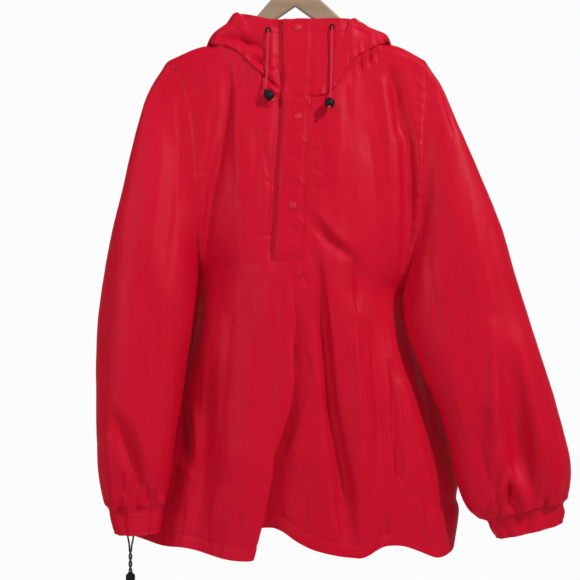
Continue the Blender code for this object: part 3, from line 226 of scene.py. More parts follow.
# ---- hood, lying open behind the neck ---------------------------------------
# Profiles from the neck seam to the rim. "at" counts the columns from the slit.
# turn: over the top; down: on the back; base: lowest; out: outer face; rim.
Profile = namedtuple("Profile", "at turn down base out rim")
HOOD_FRONT = {"left": ((0, 2, 137), (3, 31, 137), (4.6, 54, 136), (6, 76, 136)),
              "right": ((0, -1, 138), (3, -18, 138), (4, -41, 137), (5, -68, 131))}
HOOD = {
    "left": table(
        Profile,
        (7, (86, 140, -11), (90, 135, -6), (93, 134, -1), (94, 134, 5), (92, 134, 11)),
        (8, (98, 145, -10), (102, 139, -2), (105, 139, 8), (106, 142, 18), (100, 140, 28)),
        (10, (117, 153, -8), (122, 151, 1), (127, 155, 13), (129, 160, 31), (116, 151, 43)),
        (12, (138, 161, -4), (144, 159, 5), (147, 164, 19), (148, 170, 36), (127, 160, 51)),
        (13, (143, 169, 1), (149, 172, 7), (157, 188, 23), (157, 192, 42), (127, 169, 58)),
        (14, (132, 170, 11), (141, 178, 17), (157, 216, 30), (154, 212, 56), (123, 177, 63)),
        (15, (116, 166, 20), (138, 203, 37), (154, 262, 53), (145, 242, 80), (112, 190, 71)),
        (16.5, (86, 169, 29), (115, 240, 49), (121, 330, 68), (112, 276, 100), (84, 212, 86)),
        (19, (4, 172, 36), (4, 262, 55), (4, 394, 79), (4, 312, 118), (4, 234, 105)),
    ),
    "right": table(
        Profile,
        (6, (-87, 131, -12), (-90, 126, -6), (-93, 125, 1), (-94, 126, 8), (-91, 126, 15)),
        (7, (-105, 146, -9), (-109, 143, 0), (-112, 146, 10), (-113, 149, 22), (-105, 143, 33)),
        (8, (-123, 161, -5), (-129, 157, 4), (-132, 162, 18), (-133, 168, 34), (-117, 158, 47)),
        (9, (-132, 171, 1), (-138, 174, 7), (-146, 190, 23), (-146, 194, 42), (-117, 170, 57)),
        (10, (-121, 172, 11), (-130, 180, 17), (-146, 219, 30), (-143, 215, 56), (-113, 179, 62)),
        (11, (-105, 168, 20), (-127, 205, 37), (-143, 266, 53), (-134, 245, 80), (-102, 191, 71)),
        (12.5, (-73, 170, 29), (-102, 242, 49), (-108, 334, 68), (-100, 280, 100), (-74, 212, 86)),
        (15, (4, 172, 36), (4, 262, 55), (4, 394, 79), (4, 312, 118), (4, 234, 105)),
    ),
}
HOOD_RISE = (0.5, 0.68, 0.81, 0.92, 1.0)   # the same five places on the flat front part

# ---- placket, pockets and small parts ---------------------------------------
POCKET_ROWS = (14, 19)                    # skin rows at the ends of a pocket welt
POCKET_COLUMNS = {"left": (26, 27), "right": (1, 2)}
POCKET_SHARE = {"left": (0.61, 0.655), "right": (0.07, 0.13)}
SNAP_PLACES = ((5, 152), (5, 293), (-4, 433))          # x, drop
EYELETS = {"right": (-42, 155), "left": (58, 150)}     # x, drop
CORD_RADIUS = 1.3
# Hood cords: x, drop, distance of the cord's middle from the cloth
HOOD_CORD = {"right": ((-42, 158, 5.6), (-42.2, 166, 5.6), (-42.8, 180, 4.6), (-43.4, 205, 4.2),
                       (-45, 232, 5.0), (-47, 251.5, 9.5)),
             "left": ((58, 153, 5.6), (57.8, 161, 5.6), (57.4, 176, 4.6), (57, 205, 4.2),
                      (56, 240, 5.0), (54.6, 266.5, 9.5))}
CORD_STUB = 3.2          # how far a hood cord runs straight out of its eyelet
LOCK_LENGTH, LOCK_RADIUS = 17.0, 7.4
LOCK_SLOPE = {"right": (0.7, -0.15, -0.95), "left": (-0.1, -0.7, -0.7)}   # which way a lock hangs
LOCK_PLAY = 0.35         # space between a lock and its cord, and between a lock and its end knot

# Elastic cord of the hem: its two strands start under the front's and the back's hem at x, y, drop,
# come together above a lock and turn round each other down to it
HEM_STARTS = {"a": (-266.5, 12.8, 948.1), "b": (-254, -12, 949.3)}
HEM_CORD_X = -260        # where the strands and their lock hang
HEM_CORD_RADIUS = 1.5
HEM_STRAIGHT, HEM_BEND = 2.5, 12       # below the start: end of the straight piece, end of the bend
HEM_BEND_HALF = 3.6      # half the distance of the strands at the end of the bend
HEM_TURN_DROP, HEM_END_DROP = 972, 1007
HEM_TWIST = 1.75         # radius of the twist
HEM_HALF_TURNS = 3


# ---- interpolation ----------------------------------------------------------
def mix(a, b, share):
    return a + (b - a) * share


def ease(value):
    value = min(1.0, max(0.0, value))
    return value * value * (3 - 2 * value)


def curve_between(a, b, rise_a, rise_b, u):
    """A smooth step from a to b at share u, with the rise that it has at each."""
    return (a * (2 * u ** 3 - 3 * u ** 2 + 1) + rise_a * (u ** 3 - 2 * u ** 2 + u)
            + b * (3 * u ** 2 - 2 * u ** 3) + rise_b * (u ** 3 - u ** 2))


def smooth_row(rows, key):
    """The columns after the first, at key, on a smooth curve through a table's rows."""
    if key <= rows[0][0]:
        return tuple(rows[0][1:])
    if key >= rows[-1][0]:
        return tuple(rows[-1][1:])
    last = len(rows) - 1
    i = max(k for k in range(last) if rows[k][0] <= key)
    span = rows[i + 1][0] - rows[i][0]
    u = (key - rows[i][0]) / span
    result = []
    for column in range(1, len(rows[0])):
        def slope(k):
            low, high = max(0, k - 1), min(last, k + 1)
            return (rows[high][column] - rows[low][column]) / (rows[high][0] - rows[low][0])
        a, b = rows[i][column], rows[i + 1][column]
        result.append(curve_between(a, b, slope(i) * span, slope(i + 1) * span, u))
    return tuple(result)


def smooth_value(rows, key):
    return smooth_row(rows, key)[0]


def straight_value(rows, key):
    """The second column at key, on straight lines through a table's rows."""
    for (a, va), (b, vb) in zip(rows, rows[1:]):
        if key <= b:
            return mix(va, vb, (key - a) / (b - a))
    return rows[-1][1]


def root_knots(points):
    """Running sums of the roots of the distances between points."""
    knots = [0.0]
    for a, b in zip(points, points[1:]):
        knots.append(knots[-1] + math.sqrt((b - a).length))
    return knots


def along(points, share):
    """A point on a smooth curve through a few points, evenly by the root of their distance."""
    knots = root_knots(points)
    rows = [(knot, *point) for knot, point in zip(knots, points)]
    return Vector(smooth_row(rows, share * knots[-1]))


EVEN_STEPS = 8           # steps by which an even distance is measured


def even_shares(points, count):
    """Where, along the smooth curve through a few points, points at even distances lie."""
    steps = EVEN_STEPS * count
    fine = [along(points, i / steps) for i in range(steps + 1)]
    lengths = [0.0]
    for a, b in zip(fine, fine[1:]):
        lengths.append(lengths[-1] + (b - a).length)
    rows = [(length, i / steps) for i, length in enumerate(lengths)]
    return [straight_value(rows, lengths[-1] * k / count) for k in range(count + 1)]


def place_shares(points, places):
    """Where, along the same curve, places counted in its points lie."""
    knots = root_knots(points)
    rows = [(i, knot / knots[-1]) for i, knot in enumerate(knots)]
    return [straight_value(rows, where) for where in places]


def place(x, drop, y):
    return Vector((x, y, -drop)) * MM


# ---- the body's surface -----------------------------------------------------
def fold_depth(folds, x, drop):
    """Sum of the folds that reach a place on the cloth."""
    total = 0.0
    for rows in folds.values():
        if rows[0][0] < drop < rows[-1][0] + FOLD_TAIL:
            middle, depth, half = smooth_row(rows, drop)
            total += depth * math.exp(-((x - middle) / half) ** 2)
    return total


def below_ridge(x, drop):
    return max(0.0, drop - smooth_value(RIDGE, x))


def stand_off(x, drop):
    """Half thickness of the hanger with the cloth lying over it."""
    return HANGER_HALF * (1 - math.exp(-below_ridge(x, drop) / HANGER_TURN))


def armhole_y(x, drop, share, sign):
    """y of the armhole: thin on the hanger, closing at the underarm. sign is -1 in front."""
    closing = max(0.0, (share - ARM_CLOSE) / ARM_CLOSE_OVER)
    spread = ARMHOLE_DEPTH * ease(share / ARM_SPREAD_OVER)
    return UNDERARM_Y * closing ** 2 + sign * (stand_off(x, drop) + spread) * (1 - closing ** 2)


def body_depth(x, drop, side, bulge=1.0):
    """Depth of the middle of the body; side is 1 for the front and 2 for the back."""
    return stand_off(x, drop) + bulge * smooth_row(DEPTH, below_ridge(x, drop))[side - 1]


def side_seam(wearer_side, row):
    """x and y of the side seam below the underarm."""
    rows = SIDE_SEAM[wearer_side]
    return smooth_row(rows, mix(rows[0][0], rows[-1][0], hem_share(row)))


def edge_x(wearer_side, row, side):
    """x of the body's edge: the armhole, then the side seam."""
    if row <= ARM_SEGMENTS:
        return smooth_row(ARMHOLE[wearer_side], arm_share(row))[side - 1]
    return side_seam(wearer_side, row)[0]


def arm_share(row):
    return straight_value(tuple(enumerate(ARM_ROWS)), row)


def hem_share(row):
    return straight_value(tuple(enumerate(HEM_ROWS)), row - ARM_SEGMENTS)


def fold_offset(column, drop):
    """x of a column near the slit, measured from the slit's line."""
    beside = straight_value([(c, a) for c, a, b in FOLD_COLUMNS], column)
    folded = straight_value([(c, b) for c, a, b in FOLD_COLUMNS], column)
    return mix(beside, folded, ease((drop - SLIT_END_DROP) / FOLD_START))


def slit_x(drop):
    edge, overlap, forward = smooth_row(FOLD_LINE, drop)
    return edge - overlap


def shoulder_x(column, neck_to, last):
    """x of a panel's column on one of the shoulders."""
    if column < SHOULDER:
        return mix(SHOULDER_TIP["right"][0], NECK_POINT["right"][0], column / SHOULDER)
    share = (column - neck_to) / (last - neck_to)
    return mix(NECK_POINT["left"][0], SHOULDER_TIP["left"][0], share)


def front_top_x(column):
    """x of the front's upper edge: shoulder, neck, shoulder."""
    if not SHOULDER <= column <= NECK_TO:
        return shoulder_x(column, NECK_TO, FRONT_LAST)
    if column < FLAP_FROM:
        share = ((column - SHOULDER) / (FLAP_FROM - SHOULDER)) ** NECK_SPREAD
        return mix(NECK_POINT["right"][0], slit_x(COLLAR_DROP) + FOLD_COLUMNS[0][1], share)
    if column > FLAP_TO:
        share = ((NECK_TO - column) / (NECK_TO - FLAP_TO)) ** NECK_SPREAD
        return mix(NECK_POINT["left"][0], slit_x(COLLAR_DROP) + FOLD_COLUMNS[-1][1], share)
    return slit_x(COLLAR_DROP) + straight_value([(c, a) for c, a, b in FOLD_COLUMNS], column)


def back_top_x(column):
    """x of the back's upper edge."""
    if not SHOULDER <= column <= BACK_NECK_TO:
        return shoulder_x(column, BACK_NECK_TO, BACK_LAST)
    evenly = (column - SHOULDER) / (BACK_NECK_TO - SHOULDER)
    share = mix(evenly, (1 - math.cos(math.pi * evenly)) / 2, BACK_NECK_SPREAD)
    return mix(NECK_POINT["right"][0], NECK_POINT["left"][0], share)


def front_share(column, row):
    """Which part of the way from the armhole or side seam to the flap a column has."""
    down = arm_share(row) if row < ARM_SEGMENTS else 1.0
    if column <= FLAP_FROM:
        tip, flap = SHOULDER_TIP["right"][0], slit_x(COLLAR_DROP) + FOLD_COLUMNS[0][1]
        top = (front_top_x(column) - tip) / (flap - tip)
        pocket = zip(POCKET_COLUMNS["right"], POCKET_SHARE["right"])
        low_rows = ((0, 0), *pocket, (FLAP_FROM, 1))
    else:
        tip, flap = SHOULDER_TIP["left"][0], slit_x(COLLAR_DROP) + FOLD_COLUMNS[-1][1]
        top = (front_top_x(column) - flap) / (tip - flap)
        pocket = zip(POCKET_COLUMNS["left"], POCKET_SHARE["left"])
        low_rows = ((FLAP_TO, 0), *pocket, (FRONT_LAST, 1))
    return mix(top, straight_value(low_rows, column), down)


def front_hem_drop(column, x):
    return smooth_value(HEM_RIGHT if column < SLIT else HEM_LEFT, x)


def front_cloth_x(column, row, drop):
    if FLAP_FROM <= column <= FLAP_TO:
        return slit_x(drop) + fold_offset(column, drop)
    share = front_share(column, row)
    if column < FLAP_FROM:
        return mix(edge_x("right", row, 1), slit_x(drop) + fold_offset(FLAP_FROM, drop), share)
    return mix(slit_x(drop) + fold_offset(FLAP_TO, drop), edge_x("left", row, 1), share)


def underarm_drop(column):
    return straight_value(((0, UNDERARM_DROP["right"]), (FLAP_FROM, SLIT_END_DROP + 1),
                           (SLIT, SLIT_END_DROP), (FLAP_TO, SLIT_END_DROP + 1),
                           (FRONT_LAST, UNDERARM_DROP["left"])), column)


def body_y(x, drop, row, side, edges):
    """y of the cloth: from the edges' depth to the middle's, with the folds."""
    sign = -1 if side == 1 else 1
    left, right = edges
    across = max(-1.0, min(1.0, 2 * (x - left) / (right - left) - 1))
    if row <= ARM_SEGMENTS:
        share = arm_share(row)
        at_edge = armhole_y(x, drop, share, sign)
        power = 1.0
    else:
        at_edge = mix(side_seam("right", row)[1], side_seam("left", row)[1], (across + 1) / 2)
        power = mix(1.0, HEM_BULGE, ease(hem_share(row) / HEM_BULGE_AT))
    bulge = max(0.0, 1 - abs(across) ** 3) ** power
    y = mix(at_edge, sign * body_depth(x, drop, side), bulge)
    folds = FRONT_FOLDS if side == 1 else BACK_FOLDS
    calm = ease((1 - abs(across)) / EDGE_CALM) * ease((drop - smooth_value(RIDGE, x)) / RIDGE_CALM)
    return y - sign * calm * fold_depth(folds, x, drop)


def front_point(column, row, slit_side=0):
    """A point of the front. slit_side is -1 or 1 along the two edges of the slit."""
    top_x = front_top_x(column)
    top_drop = smooth_value(FRONT_NECK if SHOULDER <= column <= NECK_TO else RIDGE, top_x)
    if row <= ARM_SEGMENTS:
        drop = mix(top_drop, underarm_drop(column), arm_share(row))
    else:
        hem_x = front_cloth_x(column, ARM_SEGMENTS + HEM_SEGMENTS, HEM_DROP)
        drop = mix(underarm_drop(column), front_hem_drop(column, hem_x), hem_share(row))
    x = top_x if row == 0 else front_cloth_x(column, row, drop)
    y = body_y(x, drop, row, 1, (edge_x("right", row, 1), edge_x("left", row, 1)))
    edge, overlap, forward = smooth_row(FOLD_LINE, drop)
    turn = (x - slit_x(drop)) / FOLD_HALF
    y += forward * 0.5 * math.tanh(FOLD_STEEP * turn) * max(0.0, 1 - (turn / FOLD_REACH) ** 2) ** 3
    x -= overlap * turn * math.exp(0.5 - turn * turn / 2)
    return place(x + slit_side * SLIT_WIDTH / 2, drop, y)


def back_point(column, row):
    last = BACK_LAST
    x_top = back_top_x(column)
    on_neck = SHOULDER <= column <= BACK_NECK_TO
    top_drop = smooth_value(BACK_NECK if on_neck else RIDGE, x_top)
    low_drop = mix(UNDERARM_DROP["right"], UNDERARM_DROP["left"], column / last)
    edges = (edge_x("right", row, 2), edge_x("left", row, 2))
    if row <= ARM_SEGMENTS:
        down = arm_share(row)
        tips = (SHOULDER_TIP["right"][0], SHOULDER_TIP["left"][0])
        share = mix((x_top - tips[0]) / (tips[1] - tips[0]), column / last, down)
        drop = mix(top_drop, low_drop, down)
    else:
        share = column / last
        hem_x = mix(HEM_BACK[0][0], HEM_BACK[-1][0], share)
        drop = mix(low_drop, smooth_value(HEM_BACK, hem_x), hem_share(row))
    x = mix(*edges, share)
    return place(x, drop, body_y(x, drop, row, 2, edges))


# ---- sleeves, cuffs and hood ------------------------------------------------
def seam_fade(ring):
    """How far a ring has left the armhole's shape: 0 at the seam, 1 from SEAM_FADE on."""
    return 1 - max(0.0, 1 - ring / SEAM_FADE) ** 2


def sleeve_share(step, ring):
    """Share of the way from outer to inner end; step runs from 0 to ARM_SEGMENTS."""
    evenly = (1 - math.cos(math.pi * step / ARM_SEGMENTS)) / 2
    return mix(arm_share(step), evenly, seam_fade(ring))


def sleeve_point(wearer_side, ring, step, face):
    """A point of the sleeve or cuff. face is -1 on the front and 1 on the back."""
    rows = [(i, *r) for i, r in enumerate(SLEEVE[wearer_side])]
    r = Ring(*smooth_row(rows, ring))
    share = sleeve_share(step, ring)
    x, drop = mix(r.outer_x, r.inner_x, share), mix(r.outer_drop, r.inner_drop, share)
    fade = seam_fade(ring)
    first = SLEEVE[wearer_side][0]
    seam_x = smooth_row(ARMHOLE[wearer_side], share)[0 if face < 0 else 1]
    seam_drop = mix(first.outer_drop, first.inner_drop, share)
    x += (seam_x - mix(first.outer_x, first.inner_x, share)) * (1 - fade)
    half_depth = r.half_depth * (1 if face < 0 else BACK_SHARE)
    round_depth = half_depth * math.sqrt(max(0.0, 1 - abs(2 * share - 1) ** SLEEVE_ROUND))
    y = mix(armhole_y(seam_x, seam_drop, share, face), r.middle_y + face * round_depth, fade)
    if face < 0:
        calm = math.sin(math.pi * step / ARM_SEGMENTS) * fade
        y += calm * fold_depth(SLEEVE_FOLDS[wearer_side], x, drop)
    height = smooth_value(GATHER_HEIGHT, ring)
    if height > 0:
        turn = math.pi * step / ARM_SEGMENTS * (1 if face < 0 else -1)
        middle_x, middle_drop = mix(r.outer_x, r.inner_x, 0.5), mix(r.outer_drop, r.inner_drop, 0.5)
        middle = Vector((middle_x, middle_drop, r.middle_y))
        arm = Vector((x, drop, y)) - middle
        arm *= 1 + height * math.sin(GATHERS * turn) / max(GATHER_ARM, arm.length)
        x, drop, y = middle + arm
    return place(x, drop, y)


def sleeve_ring(wearer_side, ring, per_step):
    """Points round a ring: down the front from the outer end, then up the back."""
    steps = ARM_SEGMENTS * per_step
    front = [sleeve_point(wearer_side, ring, i / per_step, -1) for i in range(steps + 1)]
    back = [sleeve_point(wearer_side, ring, i / per_step, 1) for i in range(steps - 1, 0, -1)]
    return front + back


def hood_neck_point(wearer_side, at):
    """The neck seam, counted in columns from the slit round to the middle of the back."""
    sign, shoulder = (-1, SHOULDER) if wearer_side == "right" else (1, NECK_TO)
    behind = at - abs(shoulder - SLIT)
    if behind <= 0:
        return front_point(SLIT + sign * at, 0, sign if at == 0 else 0)
    return back_point((SHOULDER if wearer_side == "right" else BACK_NECK_TO) - sign * behind, 0)


def hood_front_y(x, drop):
    right, left = SHOULDER_TIP["right"][0], SHOULDER_TIP["left"][0]
    across = max(-1.0, min(1.0, 2 * (x - right) / (left - right) - 1))
    return -body_depth(x, drop, 1, 1 - abs(across) ** 3)


def hood_profile(wearer_side, at):
    """Six points from the neck seam to the rim."""
    neck = hood_neck_point(wearer_side, at) / MM
    flat_rows = HOOD_FRONT[wearer_side]
    behind = [(p.at, *p.turn, *p.down, *p.base, *p.out, *p.rim) for p in HOOD[wearer_side]]
    rows = []
    for where, rim_x, rim_drop in flat_rows:
        foot = hood_neck_point(wearer_side, where) / MM
        row = [where]
        for share in HOOD_RISE:
            x, drop = mix(foot.x, rim_x, share), mix(-foot.z, rim_drop, share)
            row += [x, drop, hood_front_y(x, drop)]
        rows.append(tuple(row))
    values = smooth_row(rows + behind, at)
    points = [neck]
    for k in range(0, 15, 3):
        points.append(Vector((values[k], values[k + 2], -values[k + 1])))
    return points


def hood_column(wearer_side, at):
    points = hood_profile(wearer_side, at)
    hold = straight_value(HOOD_HOLD[wearer_side], at)
    shares = zip(even_shares(points, HOOD_ROWS), place_shares(points, HOOD_PLACES))
    return [along(points, mix(even, held, hold)) * MM for even, held in shares]


# ---- fine grids of the cloth ------------------------------------------------
FINE_ROWS = 3            # fine rows for each row that is worked out
FINE_COLUMNS = 2         # fine columns for each column that is worked out
COLUMN_PARTS = 3         # columns worked out for each column of the solids
ARM_PARTS, HEM_PARTS = 36, 44              # rows worked out above and below the underarm
RING_PARTS = 6           # rings worked out for each ring of a sleeve
STEP_PARTS = 4           # steps worked out for each step round a sleeve
HOOD_PARTS = 2           # rows worked out for each row of the hood
THIN = 0.5               # half thickness of the nylon shells
PER_COLUMN = FINE_COLUMNS * COLUMN_PARTS


def spread(values, factor, closed=False):
    """factor times as many steps along the first axis, on smooth curves through the values."""
    if closed:
        padded = np.concatenate([values[-1:], values, values[:2]])
        steps = len(values)
        places = np.arange(steps * factor) / factor
    else:
        before_first, after_last = 2 * values[0] - values[1], 2 * values[-1] - values[-2]
        padded = np.concatenate([[before_first], values, [after_last]])
        steps = len(values) - 1
        places = np.arange(steps * factor + 1) / factor
    i = np.minimum(places.astype(int), steps - 1)
    u = (places - i).reshape(-1, *[1] * (values.ndim - 1))
    before, a, b, after = (padded[i + k] for k in range(4))
    return curve_between(a, b, (b - before) / 2, (after - a) / 2, u)


def grid_normals(points, closed, flip):
    down = np.gradient(points, axis=0)
    if closed:
        across = np.roll(points, -1, axis=1) - np.roll(points, 1, axis=1)
    else:
        across = np.gradient(points, axis=1)
    normal = np.cross(down, across)
    normal /= np.maximum(np.linalg.norm(normal, axis=2, keepdims=True), 1e-9)
    return -normal if flip else normal


def run_lengths(points, axis):
    """Length along the cloth from the first point of each line."""
    steps = np.linalg.norm(np.diff(points, axis=axis), axis=2)
    return np.concatenate([np.zeros_like(np.take(steps, [0], axis)), np.cumsum(steps, axis)], axis)


class Panel:
    """A fine grid of points on one panel, in millimetres, and how far the cloth lifts off it."""

    def __init__(self, rows, row_steps=FINE_ROWS, closed=False, flip=False):
        grid = np.array([[tuple(point) for point in row] for row in rows]) / MM
        grid = spread(grid, row_steps)
        self.points = spread(grid.swapaxes(0, 1), FINE_COLUMNS, closed).swapaxes(0, 1)
        self.closed, self.flip = closed, flip
        self.measure()
        self.lift = np.zeros(self.x.shape)

    def measure(self):
        self.normals = grid_normals(self.points, self.closed, self.flip)
        self.x, self.y, self.drop = self.points[..., 0], self.points[..., 1], -self.points[..., 2]
        self.from_top = run_lengths(self.points, 0)
        self.from_foot = self.from_top[-1:] - self.from_top
        self.from_start = run_lengths(self.points, 1)
        self.from_end = self.from_start[:, -1:] - self.from_start

    def at(self, height=0.0):
        """Points on the lifted cloth, height above its middle."""
        return self.points + self.normals * (self.lift + height)[..., None]


def inverse_rows(parts, shares, first):
    """Row numbers at even distances, from the shares at which the solids' own rows lie."""
    return [first + float(np.interp(i / parts, shares, range(len(shares)))) for i in range(parts + 1)]


def body_rows():
    return inverse_rows(ARM_PARTS, ARM_ROWS, 0) + inverse_rows(HEM_PARTS, HEM_ROWS, ARM_SEGMENTS)[1:]


def counted(last, parts):
    return [i / parts for i in range(last * parts + 1)]


# Where the body's sides reach behind the sleeves: edge, direction along x, drop
TUCKS = (("from_start", -1, 568), ("from_end", 1, 594))
TUCK, TUCK_WIDE, TUCK_HIGH = 4, 15, 17     # how far they reach, over what width and half height


def tuck_sides(panel):
    """Below the underarms the sides reach behind the sleeves, so that no light shows between them."""
    for edge, sign, drop in TUCKS:
        aside, down = getattr(panel, edge) / TUCK_WIDE, (panel.drop - drop) / TUCK_HIGH
        panel.points[..., 0] += sign * TUCK * np.exp(-aside ** 2 - down ** 2)
    panel.measure()


def make_panels():
    rows = body_rows()
    front = [[front_point(c, r) for c in counted(FRONT_LAST, COLUMN_PARTS)] for r in rows]
    back = [[back_point(c, r) for c in counted(BACK_LAST, COLUMN_PARTS)] for r in rows]
    panels = {"front": Panel(front), "back": Panel(back, flip=True)}
    for side in ("right", "left"):
        for name, first, last in (("sleeve_", 0, SLEEVE_END), ("cuff_", SLEEVE_END, CUFF_END)):
            places = [first + step for step in counted(last - first, RING_PARTS)]
            rings = [sleeve_ring(side, ring, STEP_PARTS) for ring in places]
            panels[name + side] = Panel(rings, closed=True, flip=side == "left")
        columns = [hood_column(side, at) for at in counted(HOOD[side][-1].at, COLUMN_PARTS)]
        across = [[column[i] for column in columns] for i in range(HOOD_ROWS, -1, -1)]
        panels["hood_" + side] = Panel(across, FINE_ROWS * HOOD_PARTS, flip=side == "right")
    for name in ("front", "back"):
        tuck_sides(panels[name])
    return panels


# ---- lifts: seams, creases and crumple --------------------------------------
# A crease runs from one place to another, bowed by bend. width is its half width, far the half
# width on the side of the wearer's left where that differs. Above 0 it is a sharp crest, below 0
# a trough with a softer floor.
Crease = namedtuple("Crease", "x drop to_x to_drop bend width height far", defaults=(None,))
CREASE_SCALE = 1.6
CREASE_FADE = 0.6        # the lower, the closer to its ends a crease keeps its height
CREST_POWER, TROUGH_POWER = 0.95, 1.25     # the lower, the sharper its middle line
# A facet is a flat slope of the cloth between two sharp edges: it rises by twice its height over
# the distance wide, up to the line from one place to another, and fades out beyond both edges.
Facet = namedtuple("Facet", "x drop to_x to_drop bend wide height fade")
FACET_FADE = 1.2
# Waves of crumpled cloth: height, then their lengths along x, y and drop
CRUMPLE = ((1.1, 46, 60, 150), (0.7, 19, 26, 62), (0.25, 8.5, 12, 21))
# Waves of an uneven line: height, length as a share of the pitch, share of the turn
UNEVEN = ((1, 1, 1), (0.6, 1.73, 2.3), (0.35, 0.61, 4.1))
UNEVEN_SUM = 1.95        # sum of those heights
PUCKER_REACH, PUCKER_PITCH = 5.0, 19.0
PUCKER_EVEN, PUCKER_UNEVEN = 0.55, 0.45    # shares of a pucker's height that stay and that vary
PUCKER_TURN, PUCKER_TURN_STEP = 1.1, 1.9   # sets the puckers of one seam apart from the next's
SEAM_CALM = 9            # creases fade out from this distance to a seam
GROOVE_HALF = 1.6        # half width of a groove beside a stitch line


def uneven(run, pitch, turn):
    """A wave between -1 and 1 whose crests are unevenly spaced."""
    return sum(height * np.sin(2 * np.pi * run / (pitch * length) + share * turn)
               for height, length, share in UNEVEN) / UNEVEN_SUM


def fade_in(distance, reach):
    share = np.clip(distance / reach, 0, 1)
    return share * share * (3 - 2 * share)


def hump(distance, reach):
    return np.exp(-(distance / reach) ** 2)


def pucker(distance, run, height, turn):
    """Cloth that swells and puckers beside a seam; nothing at the seam itself."""
    away = distance / PUCKER_REACH
    wave = PUCKER_EVEN + PUCKER_UNEVEN * uneven(run, PUCKER_PITCH, turn)
    return height * away * np.exp(1 - away) * wave


def groove(distance, at, depth, half=GROOVE_HALF):
    return -depth * hump(distance - at, half)


def beside_line(line, x, drop):
    """Where places lie on a bowed line, how far aside of it and how far beyond its ends."""
    run_x, run_drop = line.to_x - line.x, line.to_drop - line.drop
    length = math.hypot(run_x, run_drop)
    t = ((x - line.x) * run_x + (drop - line.drop) * run_drop) / length ** 2
    inside = np.clip(t, 0, 1)
    aside = ((x - line.x) * run_drop - (drop - line.drop) * run_x) / length
    return inside, aside - line.bend * 4 * inside * (1 - inside), np.abs(t - inside) * length


def facet_lift(rows, x, drop):
    total = np.zeros(x.shape)
    for f in rows:
        inside, aside, beyond = beside_line(f, x, drop)
        slope = np.clip(1 + 2 * aside / f.wide, -1, 1)
        outside = np.maximum(np.maximum(aside, -f.wide - aside), 0)
        faded = np.exp(-outside / f.fade - (beyond / f.wide) ** 2)
        total += f.height * slope * (np.sin(np.pi * inside) ** FACET_FADE * faded)
    return total


def crease_lift(rows, x, drop):
    """Sum of soft creases along bowed lines that fade out at both ends."""
    total = np.zeros(x.shape)
    for c in rows:
        inside, aside, beyond = beside_line(c, x, drop)
        half = np.where(aside > 0, c.far or c.width, c.width)
        away = np.sqrt((aside / half) ** 2 + (beyond / c.width) ** 2)
        faded = np.exp(-away ** (CREST_POWER if c.height > 0 else TROUGH_POWER))
        total += CREASE_SCALE * c.height * np.sin(np.pi * inside) ** CREASE_FADE * faded
    return total


def crumple(panel, shift):
    """Soft uneven waves of thin cloth, longer down the cloth than across it."""
    spots = np.stack([panel.x, panel.y, panel.drop], axis=2).reshape(-1, 3)
    total = np.zeros(len(spots))
    for axis, (height, *lengths) in enumerate(CRUMPLE):
        scaled = spots / lengths
        scaled[:, axis] += shift
        total += height * np.array([noise.noise(spot) for spot in scaled.tolist()])
    return total.reshape(panel.x.shape)


